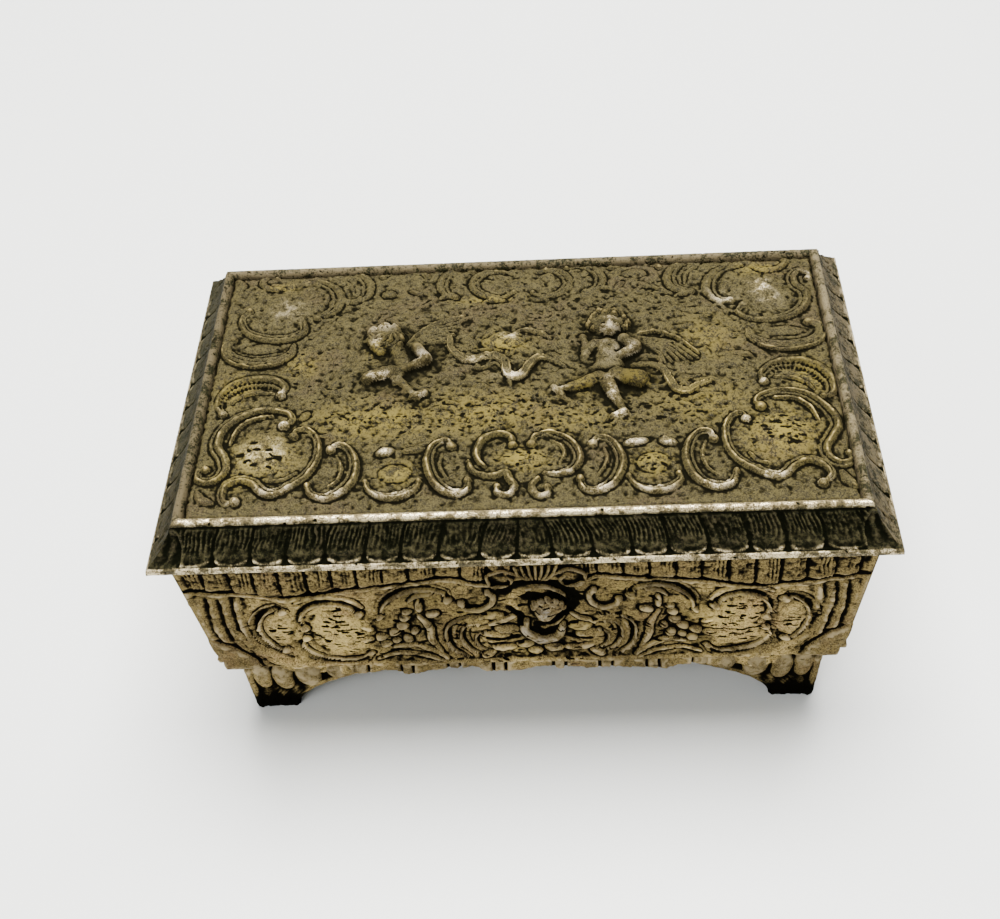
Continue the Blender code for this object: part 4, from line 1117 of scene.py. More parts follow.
SIDE_SCROLLS = [
    ([(-9.4, 27.2), (-10.6, 29.4), (-9.6, 32.8), (-6.6, 35.4), (-2.8, 36.4), (-0.8, 35.0)], 1.15, 0.9,
     (0.6, 0.6), "mould", 0.85, 0.8),
    ([(-9.2, 23.6), (-10.8, 21.6), (-9.6, 18.6), (-6.2, 16.9), (-2.6, 16.4), (-0.8, 17.6)], 1.15, 0.9,
     (0.6, 0.6), "mould", 0.85, 0.7),
    ([(-13.4, 32.8), (-15.4, 33.6), (-18.2, 32.0), (-20.0, 28.6), (-20.2, 24.8), (-18.6, 21.2), (-16.0,
     19.8), (-14.2, 20.8)], 1.25, 0.85, (0.6, 0.6), "mould", 0.85, 0.85),
    ([(-24.0, 33.6), (-23.0, 29.0), (-23.4, 24.0), (-25.0, 20.4)], 0.7, 0.55, (0.5, 0.4), "leaf", 0, 0),
    ([(-13.6, 17.4), (-10.0, 16.2), (-5.0, 15.9)], 0.55, 0.5, (0.5, 0.5), "rib", 0, 0),
]
SIDE_DOMES = [
    (0.0, 26.4, 6.6, 7.2, 0.8, 0, 0.9), (-15.6, 26.6, 2.6, 4.8, 0.5, 0, 0.9),
    (-12.6, 26.0, 0.9, 0.9, 0.9, 0, 0.5),
    (-12.9, 28.4, 0.8, 0.8, 0.8, 0, 0.5), (-12.5, 23.8, 0.8, 0.8, 0.8, 0, 0.5),
]


FAR_SCALE, FAR_SHIFT = 0.9125, 6.2      # the ornament's right half starts further from the wall's middle


def far_side(x, long_side):
    return FAR_SHIFT - FAR_SCALE * x if long_side else -x


def mirrored(strokes, long_side):
    return strokes + [([(far_side(x, long_side), y) for x, y in s[0]],) + tuple(s[1:]) for s in strokes]


def mirrored_domes(domes, long_side):
    return domes + [(far_side(d[0], long_side), d[1], d[2], d[3], d[4], -d[5], d[6]) for d in domes if d[0]]


def frieze(relief, edge_points):
    """Hatched tongues that hang from the top edge down to a wavy, deeply cut line."""
    X, Z = relief.X, relief.Y
    xs, zs = zip(*edge_points)
    edge = np.interp(np.abs(relief.x), xs, zs)
    edge = blur(edge[None, :], 5)[0]
    rough = blur(relief.rng.standard_normal(relief.h.shape), 2.5)
    above = Z - edge[None, :] - 0.14 * rough / rough.std()
    pitch = 4.3
    lean = -np.sign(X) * 0.10 * (WALL_HIGH_Z - Z)
    run = X + 1.1 + lean
    cell = np.floor(run / pitch)
    a = 2 * (run / pitch - cell) - 1
    rounded = above - 0.25 - 0.7 * (1 - (1 - np.abs(a) ** 3) ** 0.5)
    body = smooth_step(rounded, 0.0, 0.35)
    h = 0.08 + 0.34 * (1 - np.abs(a) ** 5)
    gap = (1 - np.abs(a)) * pitch / 2
    h -= 0.22 * np.exp(-(gap / 0.16) ** 2)
    wobble = blur(relief.rng.standard_normal(X.shape), 4)
    wobble /= wobble.std()
    reed = 0.5 + 0.5 * np.cos(2 * math.pi * (run / 0.66 + 0.12 * wobble))
    h += 0.20 * (reed ** 1.5 - 0.5) * smooth_step(a, -0.6, 0.3) * (0.6 + 0.4 * np.sin(2.9 * cell + 1))
    relief.h += np.where(above > 0, h * body, 0)
    relief.h -= 0.70 * np.exp(-((above - 0.02) / 0.34) ** 2)
    relief.h += 0.30 * np.exp(-((above + 1.10) / 0.45) ** 2)
    # the cut line is kept black, painted shade in the groove
    relief.crevice_and_shade = np.maximum(relief.crevice_and_shade, np.exp(-((above + 0.05) / 0.36) ** 2))
    relief.cover = np.maximum(relief.cover, body)
    return edge


def corner_work(relief, half, edge):
    """Flutes down each corner that sweep into the base, over a rounded knuckle and a cut-back foot."""
    X, Z = relief.X, relief.Y
    e = half - np.abs(X)
    bend = 0.010 * np.clip(Z - 27, 0, None) ** 2 + 0.020 * np.clip(26 - Z, 0, None) ** 2
    zone = smooth_step(Z, 17.0, 23.0) * smooth_step(edge[None, :] - 1.4 - Z, 0.0,
                                                    1.2) * smooth_step(8.0 + bend - e, 0.0, 0.8)
    flutes = np.cos(2 * math.pi * (e - bend - 0.7) / 2.15)
    relief.h += zone * (0.20 + 0.24 * flutes) * smooth_step(e, 0.0, 1.2)
    for sx in (-1, 1):
        relief.stroke([(sx * (half - 5.2), 26.5), (sx * (half - 7.0), 21.6), (sx * (half - 10.8), 17.4),
                       (sx * (half - 16.5), 15.4), (sx * (half - 23.0), 15.0)], 1.7, 0.42, (0.4, 0.5),
                       "rib", moat=False)
        relief.stroke([(sx * (half - 12.0), 13.6), (sx * (half - 14.0), 14.4), (sx * (half - 16.4), 13.6)],
                      0.5, 0.5,
                      (0.4, 0.4), "rib")
    crease = np.interp(e, [0.3, 3.2, 5.8, 7.4, 8.6], [24.4, 22.6, 19.4, 16.6, 14.0])
    below = smooth_step(crease - Z, -0.1, 0.8) * smooth_step(8.6 - e, 0.0, 0.6)
    knuckle = 0.55 * np.sqrt(np.clip(1 - ((e - 3.4) / 4.8) ** 2, 0, 1)) * smooth_step(Z, 13.7, 17.0)
    relief.h = relief.h * (1 - below) + below * (0.25 + knuckle)
    relief.h -= 0.62 * np.exp(-((crease - Z) / 0.42) ** 2) * smooth_step(8.2 - e, 0.0, 1.0)
    cut = smooth_step(14.5 - Z, 0.0, 0.5) * smooth_step(9.0 - e, 0.0, 2.0)
    relief.h -= 1.7 * cut


def apron(relief, half):
    """The lower moulding, and the row of blocks along the apron's edge."""
    X, Z = relief.X, relief.Y
    reach = half - 20.5
    fade = smooth_step(reach - np.abs(X), 0.0, 1.0)
    relief.h += 0.32 * fade * np.exp(-((Z - 15.3) / 0.7) ** 4)
    pitch = 8.8
    local = (np.abs(X) + 0.35 * pitch) / pitch
    local = (local - np.round(local)) * pitch
    notch = np.exp(-((np.abs(local) - 1.15) / 0.3) ** 4)
    blocks = smooth_step(13.9 - Z, 0.0, 0.4)
    swell = 0.16 * np.cos(2 * math.pi * local / pitch) + 0.12 * np.sin(1.3 * X)
    relief.h += fade * blocks * (0.55 + swell - 1.05 * notch) * smooth_step(Z, WALL_LOW_Z - 0.2,
                                                                            WALL_LOW_Z + 0.7)
    relief.h -= 0.30 * fade * np.exp(-((Z - 13.95) / 0.22) ** 2) * (0.6 + 0.4 * np.sin(0.7 * X))


def centre_figure(relief):
    """A child's head over a swag, in a niche below a fluted shell between two volutes, with painted shadows
    under the shell and below the head.
    """
    for sx, cx in ((-1, -3.2), (1, 7.6)):
        relief.dome(cx, 41.3, 2.7, 2.2, 0.55, power=0.7)
        relief.stroke([(cx - sx * 2.6, 42.2), (cx, 43.6), (cx + sx * 2.6, 42.0), (cx + sx * 2.2, 39.6),
                       (cx, 39.0),
                       (cx - sx * 1.4, 40.2), (cx - sx * 0.6, 41.6), (cx + sx * 0.8, 41.2)], 0.38, 1.15,
                       (0.7, 0.6), "rib")
    for k in range(-3, 4):
        relief.stroke([(2.2 + 0.35 * k, 39.9), (2.2 + 0.9 * k, 42.0), (2.2 + 1.15 * k, 44.4)], 0.36, 1.0,
                      (0.6, 0.9), "rib")
    # painted shadow under the shell, cut as a black groove
    relief.carve([(-3.4, 36.6), (-1.6, 38.6), (3.2, 39.6), (6.8, 37.6), (9.0, 34.0)], 0.85, 0.7)
    relief.stroke([(0.4, 37.3), (3.4, 38.2), (6.2, 36.4), (7.6, 33.4)], 0.30, 0.8, (0.6, 0.6), "rib",
                  moat=False)
    relief.carve([(0.2, 34.8), (1.0, 35.6), (2.2, 35.4)], 0.6, 0.5)
    relief.carve([(5.0, 35.8), (6.8, 34.6), (7.4, 32.6)], 0.7, 0.5)
    relief.dome(4.2, 32.4, 2.6, 2.2, 1.5, -20, power=0.5)
    relief.dome(3.6, 30.6, 2.0, 2.5, 1.6, -10, power=0.5)
    relief.stroke([(2.0, 32.6), (3.4, 31.6), (5.0, 32.2)], 0.5, 2.0, (0.5, 0.5), "rib", moat=False)
    relief.stroke([(3.3, 31.8), (3.0, 30.4), (3.6, 29.6)], 0.4, 2.0, (0.6, 0.8), "rib", moat=False)
    relief.carve([(4.0, 30.8), (5.2, 30.6)], 0.25, 0.25)
    relief.carve([(1.8, 31.2), (2.4, 31.0)], 0.22, 0.25)
    for k in range(7):
        turn = math.radians(0 + 30 * k)
        relief.dome(4.1 + 2.5 * math.cos(turn), 32.9 + 1.9 * math.sin(turn), 0.8, 0.6, 1.6,
                    math.degrees(turn) + 50, power=0.5)
    # painted shadow below the head, cut as a black groove
    relief.carve([(8.6, 32.4), (6.4, 29.4), (3.6, 26.6), (2.2, 26.2)], 0.75, 0.8)
    relief.stroke([(0.0, 27.8), (-0.2, 24.6), (2.6, 22.0), (5.6, 23.0), (6.7, 27.0)], 1.15, 1.25,
                  (0.6, 0.35), "leaf")
    relief.stroke([(3.6, 26.6), (5.4, 27.4), (6.8, 29.6)], 0.45, 0.9, (0.5, 0.5), "rib")
    relief.carve([(1.8, 25.0), (3.2, 23.9), (4.6, 24.8)], 0.5, 0.5)
    relief.carve([(-7.0, 22.4), (-4.4, 22.0), (-1.8, 22.4)], 0.42, 0.5)
    relief.carve([(7.2, 22.6), (8.8, 21.9), (11.4, 21.8)], 0.42, 0.5)
    relief.carve([(-2.6, 31.6), (-1.0, 29.4), (-0.8, 27.0)], 0.5, 0.5)
    for x, z, rx, rz in ((-0.4, 20.2, 1.7, 1.0), (4.8, 18.8, 1.8, 1.2), (1.4, 18.0, 1.4, 1.2),
                         (-4.0, 19.4, 2.2, 0.9),
                         (8.4, 18.9, 1.9, 0.8), (-3.4, 25.2, 2.4, 1.3), (9.6, 25.6, 2.2, 1.6),
                         (-6.0, 29.6, 2.4, 1.2)):
        relief.dome(x, z, rx, rz, 0.6, power=0.7)
    relief.stroke([(-6.2, 27.0), (-3.6, 28.4), (-1.2, 30.0)], 0.8, 0.8, (0.4, 0.4), "leaf")
    relief.stroke([(12.6, 27.2), (9.8, 28.4), (7.8, 30.2)], 0.7, 0.7, (0.4, 0.4), "leaf")
    # painted highlights on the head and the swag
    for x, z, rx, rz in ((3.8, 31.2, 2.2, 2.8), (-0.2, 24.8, 1.0, 2.4), (3.6, 22.2, 2.6, 0.9),
                         (6.4, 25.4, 0.7, 1.8)):
        relief.glow(x, z, rx, rz, 0.9, "wear_and_highlight")


WALL_SEEDS = {"front": 3, "back": 4, "left": 5, "right": 6}
MITRE_GAP = 0.15                # half the gap between two walls at a corner
HINGE_X = 30                    # each hinge's middle
HINGE_PAD_HALF = 7.0            # half the width of the plain patch under a hinge leaf
HINGE_PAD_LOW_Z = 36.6          # and its lower edge


def make_wall(name, side):
    """One cast wall: its relief, laid on the sloping face and mitred at both ends."""
    long_side = side in ("front", "back")
    half_rim = HALF_LENGTH if long_side else HALF_DEPTH
    half = half_rim - WALL_FACE[0][0] - MITRE_GAP
    relief = Relief(-half, half, WALL_LOW_Z, WALL_HIGH_Z, seed=WALL_SEEDS[side])
    relief.grain(3.2, 0.13)
    edge = frieze(relief, FRIEZE_EDGE if long_side else SIDE_EDGE)
    apron(relief, half)
    corner_work(relief, half, edge)
    draw(relief, mirrored(WALL_SCROLLS if long_side else SIDE_SCROLLS, long_side))
    for x, y, rx, ry, height, angle, power in mirrored_domes(WALL_DOMES if long_side else SIDE_DOMES,
                                                             long_side):
        relief.dome(x, y, rx, ry, height, angle, power=power, moat=ry < 4)
    if long_side:
        centre_figure(relief)
        for boss in (-33.4, far_side(-33.4, True)):
            relief.nicks(boss, 26.0, 4.6, 5.2, 30, 1.5, 0.12)
        for boss in (-44.0, far_side(-44.0, True)):
            relief.nicks(boss, 26.4, 1.6, 3.0, 6, 1.0, 0.12)
    else:
        relief.nicks(0, 26.4, 5.0, 5.4, 30, 1.5, 0.12)
    relief.nicks(0, 26, half - 9, 11, 170, 1.2, 0.15)
    relief.grain(0.9, 0.05)
    relief.grain(0.45, 0.035)
    relief.finish(0.24)
    e = half - np.abs(relief.X)
    knuckle_edge = (0.12 - 0.5 * smooth_step(21.0 - relief.Y, 0.0, 6.5)) * smooth_step(24.4 - relief.Y,
                                                                                       0.0, 1.5)
    corner = WALL_SINK + 0.10 + knuckle_edge - 1.0 * smooth_step(17.4 - relief.Y, 0.0, 2.6)
    corner = corner - 0.9 * smooth_step(14.8 - relief.Y, 0.0, 0.9)
    relief.h += (corner - relief.h) * smooth_step(1.5 - e, 0.0, 1.2)
    h = relief.h - WALL_SINK * smooth_step(relief.Y, 14.0, 18.0)
    if side == "back":                                                   # plain pads under the hinge leaves
        for sx in (-1, 1):
            across = smooth_step(HINGE_PAD_HALF - np.abs(relief.X - sx * HINGE_X), 0, 0.6)
            pad = across * smooth_step(relief.Y - HINGE_PAD_LOW_Z, 0, 0.6)
            h = h * (1 - pad) - 0.05 * pad
    h = h - 0.30 * (1 - np.sqrt(1 - np.clip((0.9 - e) / 0.9, 0, 1) ** 2))
    cavity = 1.3 * hollows(h, 0.45, 1.3) - 0.9 * relief.crevice_and_shade
    relief.glow(-33, 26, 9, 9, 0.5)
    relief.glow(33, 26, 9, 9, 0.5)
    for gx, gy in ((-17, 36), (17, 36), (-36, 36), (36, 35), (-9, 30), (9, 26), (0, 18)):
        relief.glow(gx, gy, 4, 3, 0.6)
    wear_and_highlight = relief.wear_and_highlight * (0.1 + 0.9 * smooth_step(relief.h, 0.3, 0.8))
    nx, ny = h.shape[1], h.shape[0]
    face = np.array(WALL_FACE)[::-1]
    base_inset = np.interp(relief.y, face[:, 1], face[:, 0])
    inset = base_inset[None, :] - h.T
    z = np.broadcast_to(relief.y, inset.shape)
    order = slice(None, None, -1)                                        # from the top edge down
    inner = np.array(WALL_INNER)
    inset = np.hstack([inset[:, order], np.broadcast_to(inner[:, 0], (nx, len(inner)))])
    z = np.hstack([z[:, order], np.broadcast_to(inner[:, 1], (nx, len(inner)))])
    u = np.linspace(-1, 1, nx)[:, None]
    along = u * (half_rim - inset - MITRE_GAP)
    if long_side:
        sy = -1 if side == "front" else 1
        x, y = along * -sy, sy * (HALF_DEPTH - inset)
    else:
        sx = -1 if side == "left" else 1
        x, y = sx * (HALF_LENGTH - inset), along * sx
    frieze_zone = smooth_step(relief.Y - edge[None, :], -0.5, 0.5)
    under_rim = smooth_step(relief.Y, WALL_HIGH_Z - 5.5, WALL_HIGH_Z)
    # painted shade: darker under the rim and among high relief; the frieze is darker too
    shade = openness(h, 1.6, 0.40) * (1 - 0.55 * under_rim) * (1 - 0.6 * frieze_zone)
    # darker at the corners
    shade = shade * (1 - 0.66 * smooth_step(10.0 - e, 0.0, 3.0) * (1 - frieze_zone))
    # and painted shade among the grapes
    if long_side:
        shade = shade * (1 - 0.60 * np.exp(-((np.abs(relief.X) - 18.5) / 9.5) ** 4) * (1 - frieze_zone))
    # the frieze is darker, and its crests are held back
    cavity = cavity - 0.11 * frieze_zone
    fields = {"cavity": cavity, "brass": relief.brass, "wear_and_highlight": wear_and_highlight, "grime_and_shade": 0.65 * frieze_zone,
              "shade": shade}
    blank = np.zeros((nx, len(inner)))
    attributes = {label: np.hstack([value.T[:, order], blank]) for label, value in fields.items()}
    wall = loft_object(name, np.stack([x, y, z], axis=-1), body_metal, attributes, ny)
    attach(wall, "casket")
    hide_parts(f"{side}_panel")
    return wall


for wall_side in ("front", "back", "left", "right"):
    make_wall(f"{wall_side}_wall_casting", wall_side)


# ---------------------------------------------------------------- the feet

FOOT_TOP_Z = box_mm("foot_front_left")[1][2]
LAP_TOP_Z = 14.6                # the feet's lobes lap over the walls up to here
FOOT_CORNER = 1.4               # plan radius of the outer corner
FOOT_SOLE = 8.2                 # arm length at the ground, both ways
FOOT_REACH_X = 15.8             # how much longer the arm along X is at the top
FOOT_REACH_Y = 8.8              # and the arm along Y
FOOT_THICK = 6.6                # wall thickness at the ground
FOOT_TAPER = 3.4                # how much thinner it is at the top
LAP_THICK = 1.2                 # thickness of the part that laps over the wall
FOOT_INSET_X = 8.2              # of the outer faces at the ground, from the rim's edge
FOOT_INSET_Y = 6.0
FOOT_FLARE_X = 0.6              # how far the end faces lean outwards to the top
FOOT_RAKE_Y = 0.2               # how far the long faces lean inwards to the top
FOOT_ROWS = 60
FOOT_POINTS = 190               # round the outside of one row
FOOT_SHADE = {"left": 0.68, "right": 0.15}      # the photographed right foot is the darker one
# lobes on the long arm, then on the short one: distance from the corner, z, half width, half height, height
LONG_LOBES = [(3.3, 9.8, 1.8, 3.6, 0.75), (7.2, 9.7, 2.1, 3.9, 1.05), (11.9, 10.4, 2.5, 3.6, 1.3),
              (17.2, 11.4, 1.9, 2.4, 1.0), (21.4, 12.2, 1.4, 1.7, 0.8)]
SHORT_LOBES = [(3.6, 9.8, 1.8, 3.7, 0.8), (8.2, 9.9, 2.2, 3.9, 1.1), (13.0, 11.0, 1.9, 3.0, 1.0)]


def foot_height(d, z, arm, rough):
    """Relief of a foot: d is the distance from its corner, along the long arm if positive."""
    base = -0.15 + 0.05 * np.sin(2.4 * d) + 0.5 * rough
    base = base + 0.30 * smooth_step(2.0 - np.abs(d), 0.0,
                                     1.0) - 0.25 * smooth_step(z, 4.0, 6.0) * (np.abs(d) > 1.6)
    base = base - 1.8 * smooth_step(z, FOOT_TOP_Z + 0.6, FOOT_TOP_Z + 1.8)
    h = base
    for lobes, side in ((LONG_LOBES, 1), (SHORT_LOBES, -1)):
        for at, mid_z, rx, rz, height in lobes:
            q = ((side * d - at) / rx) ** 2 + ((z - mid_z) / rz) ** 2
            h = np.where(q < 1, np.maximum(h, height * np.sqrt(np.clip(1 - q, 0, 1)) - 0.35 + 0.5 * rough), h)
    h = h - 0.5 * (1 - smooth_step(arm - np.abs(d), 0.0, 0.7))
    return h - 0.4 * np.clip(0.5 - z, 0, None)


def make_foot(depth_name, side, sx, sy):
    levels = np.linspace(0, LAP_TOP_Z, FOOT_ROWS)
    count = FOOT_POINTS
    rng = np.random.default_rng(31)
    rough = blur(rng.standard_normal((len(levels), count)), 1.6)
    rough = 0.07 * rough / rough.std()
    rings, heights = [], []
    for z, rough_row in zip(levels, rough):
        share = min(1.0, z / FOOT_TOP_Z)
        arm_x = FOOT_SOLE + FOOT_REACH_X * share ** 2
        arm_y = FOOT_SOLE + FOOT_REACH_Y * share ** 2
        thick = FOOT_THICK - FOOT_TAPER * share if z <= FOOT_TOP_Z else LAP_THICK
        turns = np.linspace(0, 0.5 * math.pi, 9)
        bend = [(FOOT_CORNER - FOOT_CORNER * math.sin(a), FOOT_CORNER - FOOT_CORNER * math.cos(a))
                for a in turns]
        path = resample(np.array([(arm_x, 0.0)] + bend + [(0.0, arm_y)]), 0.04)
        line = path[np.linspace(0, len(path) - 1, count).round().astype(int)]
        d = np.where(line[:, 1] < line[:, 0], line[:, 0], -line[:, 1])
        arm = np.where(d > 0, arm_x, arm_y)
        h = foot_height(d, z, arm, rough_row)
        out = np.minimum(line - FOOT_CORNER, 0)
        out /= np.linalg.norm(out, axis=1)[:, None] + 1e-9
        inner = [(thick, arm_y), (thick, thick), (arm_x, thick)]
        rings.append(np.vstack([line + out * h[:, None], inner]))
        heights.append(h)
    rings, h = np.array(rings), np.array(heights)
    share = np.minimum(levels / FOOT_TOP_Z, 1)[:, None]
    x = sx * (HALF_LENGTH - FOOT_INSET_X + FOOT_FLARE_X * share - rings[:, :, 0])
    y = sy * (HALF_DEPTH - FOOT_INSET_Y - FOOT_RAKE_Y * share - rings[:, :, 1])
    z = np.broadcast_to(levels[:, None], x.shape)
    blank = np.zeros((len(levels), 3))
    cavity = hollows(h, 0.5, 1.5)
    # painted shade: the feet darken towards the ground
    low = 1 - smooth_step(levels[:, None], 2.6, 6.6)
    shade = openness(h, 1.6, 0.9) * (1 - 0.8 * low) * FOOT_SHADE[side]
    attributes = {"cavity": np.hstack([cavity - 0.30 * low, blank]), "brass": np.zeros(x.shape),
                  "wear_and_highlight": np.zeros(x.shape), "shade": np.hstack([shade, blank]),
                  "grime_and_shade": np.hstack([0.2 + 0.9 * low + 0 * h, blank + 1])}
    foot = loft_object(f"foot_{depth_name}_{side}_casting", np.stack([x, y, z], axis=-1), body_metal,
                       attributes, count)
    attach(foot, "casket")
    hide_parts(f"foot_{depth_name}_{side}")


for foot_depth, foot_sy in (("front", -1), ("back", 1)):
    for foot_side, foot_sx in (("left", -1), ("right", 1)):
        make_foot(foot_depth, foot_side, foot_sx, foot_sy)


# ---------------------------------------------------------------- velvet linings and pads

def velvet_material():
    s = Shader("velvet")
    pile = s.noise(3200, 2, 0.6)
    crush = s.noise(130, 3, 0.6)
    color = s.mix(s.spread(crush, 0.38, 0.64), srgb(74, 14, 24), srgb(122, 34, 44))
    color = s.mix(s.spread(pile, 0.36, 0.66), srgb(48, 8, 15), color)
    link(s.tree, color, s.bsdf.inputs["Base Color"])
    link(s.tree, s.plus(0.78, s.scaled(crush, 0.3)), s.bsdf.inputs["Roughness"])
    s.bsdf.inputs["Specular IOR Level"].default_value = 0.15
    s.bsdf.inputs["Sheen Weight"].default_value = 0.7
    s.bsdf.inputs["Sheen Roughness"].default_value = 0.35
    s.bsdf.inputs["Sheen Tint"].default_value = (0.80, 0.36, 0.40, 1)
    s.bump(s.plus(pile, s.times(crush, 2.0)), 0.00025, 0.7)
    return s.material


velvet = velvet_material()
SIM_SCALE = 10.0                # the cloth is simulated ten times larger, where the solver is at ease
SEAM_PITCH = 12.6               # mm between the sewn lines of the quilting


def evaluated_mesh(thing):
    depsgraph = bpy.context.evaluated_depsgraph_get()
    return bpy.data.meshes.new_from_object(thing.evaluated_get(depsgraph))


def seam_distance(x, y):
    """Distance in mm from the nearest sewn line of a diamond quilting."""
    p, q = (x + y) / math.sqrt(2), (x - y) / math.sqrt(2)
    near = [np.abs(v / SEAM_PITCH - np.round(v / SEAM_PITCH)) * SEAM_PITCH for v in (p, q)]
    return np.minimum(near[0], near[1])


def quilted_pad(name, node, up):
    """A velvet pad: its cloth is blown up between the sewn lines, on the side that faces the box's inside."""
    low, high = box_mm(node)
    source = bpy.data.objects.new(f"{name}_sim", bpy.data.objects[node].data.copy())
    bpy.context.scene.collection.objects.link(source)
    middle = 0.5 * (low + high)
    scale = SIM_SCALE
    world = np.array(bpy.data.objects[node].matrix_world)
    points = np.array([v.co for v in source.data.vertices]) @ world[:3, :3].T + world[:3, 3]
    points = (points / MM - middle) * (1, 1, 0.62)
    source.data.vertices.foreach_set("co", (points * MM * scale).ravel())
    source.data.update()
    remesh = source.modifiers.new("remesh", "REMESH")
    remesh.mode = "VOXEL"
    remesh.voxel_size = 0.9 * MM * scale
    source.data = evaluated_mesh(source)
    source.modifiers.clear()
    rest = np.array([v.co for v in source.data.vertices]) / MM / scale
    half = 0.5 * (high - low)
    edge = np.minimum(half[0] - np.abs(rest[:, 0]), half[1] - np.abs(rest[:, 1]))
    seat = rest[:, 2] * up < -0.2 * half[2]
    sewn = (seam_distance(rest[:, 0], rest[:, 1]) < 0.55) & (edge > 1.2)
    held = source.vertex_groups.new(name="held")
    held.add([int(k) for k in np.nonzero(seat | sewn)[0]], 1.0, "REPLACE")
    cloth = source.modifiers.new("cloth", "CLOTH")
    cloth.settings.vertex_group_mass = "held"
    cloth.settings.use_pressure = True
    cloth.settings.uniform_pressure_force = 6
    cloth.settings.tension_stiffness = 8
    cloth.settings.compression_stiffness = 8
    cloth.settings.bending_stiffness = 0.2
    cloth.settings.effector_weights.gravity = 0
    for step in range(1, 21):
        bpy.context.scene.frame_set(step)
    blown = evaluated_mesh(source)
    moved = np.array([v.co for v in blown.vertices]) / MM / scale
    shift = moved - rest
    length = np.linalg.norm(shift, axis=1)[:, None] + 1e-9
    shift *= np.minimum(1, 1.6 / length)
    groove = np.exp(-(seam_distance(rest[:, 0], rest[:, 1]) / 0.8) ** 2) * (edge > 0.8) * (~seat)
    final = rest + shift
    final[:, 2] -= up * 0.55 * groove
    final[:, 2] += up * (half[2] - (final[:, 2] * up).max())
    final = np.clip(final, -half, half)
    blown.vertices.foreach_set("co", ((final + middle) * MM).astype(np.float32).ravel())
    blown.update()
    blown.materials.clear()
    blown.materials.append(velvet)
    blown.polygons.foreach_set("use_smooth", np.ones(len(blown.polygons), bool))
    bpy.data.objects.remove(source)
    pad = bpy.data.objects.new(name, blown)
    bpy.context.scene.collection.objects.link(pad)
    fine = pad.modifiers.new("fine", "SUBSURF")
    fine.levels = fine.render_levels = 1
    return pad


LINING_OUTER = [(5.7, 46.4), (7.9, 16.2), (7.9, 15.4)]     # inset and z of a lining's hidden face
LINING_THICK = 1.3


def lining_panel(name, side):
    """Velvet stretched over thin card: gently crowned, with a rolled edge all round and soft puckers."""
    long_side = side in ("front", "back")
    half = HALF_LENGTH if long_side else HALF_DEPTH
    rng = np.random.default_rng({"front": 41, "back": 42, "left": 43, "right": 44}[side])
    insets, heights = np.array(LINING_OUTER).T
    count, rows = (241, 76) if long_side else (141, 76)
    z = np.linspace(heights[0], heights[-1], rows)
    outer = np.interp(z, heights[::-1], insets[::-1])
    u = np.linspace(-1, 1, count)[:, None]
    end = (1 - np.abs(u)) * (half - outer[None, :])
    rim = np.minimum(np.minimum(z[0] - z, z - z[-1])[None, :], end)
    roll = np.sqrt(np.clip(1 - (1 - np.clip(rim / 1.1, 0, 1)) ** 2, 0, 1))
    pucker = blur(rng.standard_normal((count, rows)), 5)
    pucker = 0.05 * pucker / pucker.std() * smooth_step(rim, 0.2, 2.5)
    crown = 0.14 * smooth_step(rim, 0.6, 7.0)
    thick = (LINING_THICK - 0.2) * (0.25 + 0.75 * roll) + crown + pucker - 0.08 * smooth_step(rim, 1.2, 2.0)
    inset = np.hstack([outer[None, :] + np.minimum(thick, LINING_THICK + 0.1),
                       np.broadcast_to(insets[::-1], (count, 3))])
    zs = np.hstack([np.broadcast_to(z, (count, rows)), np.broadcast_to(heights[::-1], (count, 3))])
    along = u * (half - inset - 0.15)
    if long_side:
        sy = -1 if side == "front" else 1
        x, y = along, sy * (HALF_DEPTH - inset)
    else:
        sx = -1 if side == "left" else 1
        x, y = sx * (HALF_LENGTH - inset), along
    panel = loft_object(name, np.stack([x, y, zs], axis=-1), velvet, {}, rows)
    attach(panel, "casket")
    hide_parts(f"lining_{side}")


for lining_side in ("front", "back", "left", "right"):
    lining_panel(f"{lining_side}_lining_velvet", lining_side)
for pad_name, pad_node, pad_body, pad_up in (("floor_pad_velvet", "floor_pad", "casket", 1),
                                             ("lid_pad_velvet", "lid_pad", "lid", -1)):
    velvet_pad = quilted_pad(pad_name, pad_node, pad_up)
    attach(velvet_pad, pad_body)
    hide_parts(pad_node)
bpy.context.scene.frame_set(1)


# ---------------------------------------------------------------- plate, hinges and pins

def worked_metal(name, dark, light, rough, scale):
    """Plain sheet or drawn wire: tarnish in patches, fine scratches and dull spots."""
    s = Shader(name)
    mottle = s.noise(scale, 4, 0.62)
    grains = s.noise(2600, 2, 0.5)
    scratch = s.noise(900, 2, 0.5, stretch=(0.15, 1.0, 1.0))
    color = s.mix(s.spread(mottle, 0.36, 0.62), dark, light)
    color = s.mix(s.spread(grains, 0.62, 0.72, 0.0, 0.6), color, tuple(v * 0.3 for v in dark))
    link(s.tree, color, s.bsdf.inputs["Base Color"])
    s.bsdf.inputs["Metallic"].default_value = 0.85
    link(s.tree, s.plus(rough, s.scaled(mottle, 0.35)), s.bsdf.inputs["Roughness"])
    s.bump(s.plus(grains, scratch), 0.00008, 0.6)
    return s.material


brass = worked_metal("hinge_brass", srgb(50, 42, 25), srgb(104, 88, 54), 0.42, 300)
steel = worked_metal("pin_steel", srgb(92, 88, 80), srgb(168, 164, 156), 0.32, 500)
base_metal = worked_metal("base_plate_metal", srgb(84, 78, 60), srgb(140, 130, 104), 0.45, 120)
for metal_node, metal_look in (("hinge_left_body_leaf", brass), ("hinge_right_body_leaf", brass),
                               ("hinge_left_lid_leaf", brass), ("hinge_right_lid_leaf", brass),
                               ("hinge_left_pin", steel), ("hinge_right_pin", steel),
                               ("floor_plate", base_metal)):
    for material_slot in bpy.data.objects[metal_node].material_slots:
        material_slot.material = metal_look


# ---------------------------------------------------------------- floor, light and camera

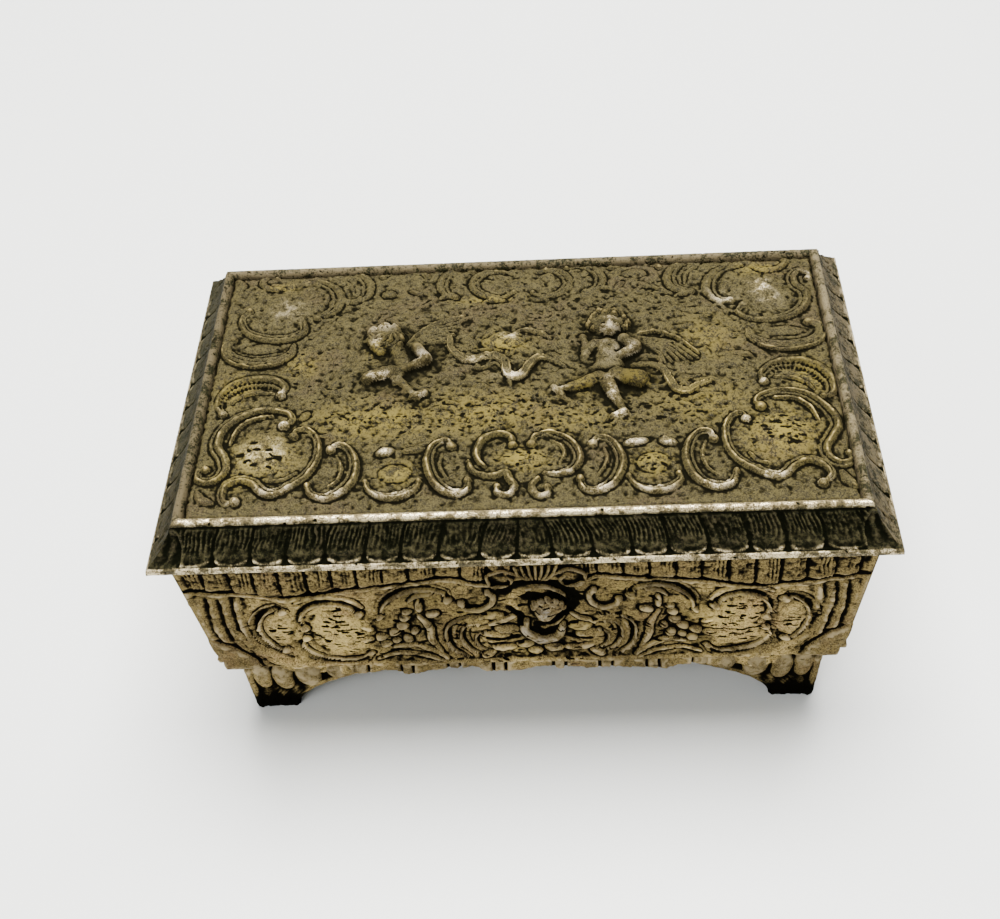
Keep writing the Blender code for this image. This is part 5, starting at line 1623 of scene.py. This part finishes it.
def area_light(name, location, target, size, power, color=(1, 1, 1)):
    light = bpy.data.lights.new(name, "AREA")
    light.shape = "RECTANGLE"
    light.size, light.size_y = size
    light.energy = power
    light.color = color
    made = bpy.data.objects.new(name, light)
    made.location = location
    made.rotation_euler = (Vector(target) - Vector(location)).to_track_quat("-Z", "Y").to_euler()
    bpy.context.scene.collection.objects.link(made)


def make_floor():
    bm = bmesh.new()
    half = 3.0
    corners = [bm.verts.new((x, y, 0)) for x, y in ((-half, -half), (half, -half), (half, half),
                                                    (-half, half))]
    bm.faces.new(corners)
    mesh = bpy.data.meshes.new("floor")
    bm.to_mesh(mesh)
    bm.free()
    floor = bpy.data.objects.new("floor", mesh)
    bpy.context.scene.collection.objects.link(floor)
    s = Shader("floor_paint")
    s.bsdf.inputs["Roughness"].default_value = 0.55
    shade = s.mix(s.noise(6, 2, 0.5), srgb(236, 238, 236), srgb(241, 242, 240))
    link(s.tree, shade, s.bsdf.inputs["Base Color"])
    mesh.materials.append(s.material)


def make_camera():
    camera = bpy.data.cameras.new("camera")
    camera.lens = 50.4
    camera.sensor_width = 36
    camera.clip_start = 0.01
    made = bpy.data.objects.new("camera", camera)
    right = Vector((0.99824, 0.01116, -0.05822))
    down = Vector((-0.03143, -0.73312, -0.67937))
    forward = Vector((-0.05027, 0.68001, -0.73148))
    turn = Matrix((right, -down, -forward)).transposed().to_4x4()
    made.matrix_world = Matrix.Translation((0.00847, -0.17431, 0.22166)) @ turn
    bpy.context.scene.collection.objects.link(made)
    bpy.context.scene.camera = made


def make_room():
    """A pale room that is brightest overhead."""
    world = bpy.data.worlds.new("room")
    bpy.context.scene.world = world
    world.use_nodes = True
    tree = world.node_tree
    coords = tree.nodes.new("ShaderNodeTexCoord").outputs["Generated"]
    split = tree.nodes.new("ShaderNodeSeparateXYZ")
    link(tree, coords, split.inputs["Vector"])
    ramp = tree.nodes.new("ShaderNodeMapRange")
    ramp.interpolation_type = "SMOOTHSTEP"
    ramp.inputs["From Min"].default_value = 0.45
    ramp.inputs["From Max"].default_value = 1.0
    ramp.inputs["To Min"].default_value = 0.16
    ramp.inputs["To Max"].default_value = 0.44
    link(tree, split.outputs["Z"], ramp.inputs["Value"])
    background = tree.nodes["Background"]
    background.inputs["Color"].default_value = (0.93, 0.96, 0.94, 1)
    link(tree, ramp.outputs["Result"], background.inputs["Strength"])


make_floor()
make_camera()
make_room()
area_light("ceiling", (0.02, 0.22, 0.96), (0, 0, 0.03), (0.80, 0.66), 46.0, (1.0, 0.99, 0.96))
area_light("window", (-0.45, -0.75, 0.75), (0, 0, 0.03), (0.6, 0.6), 7.0, (0.97, 0.99, 1.0))
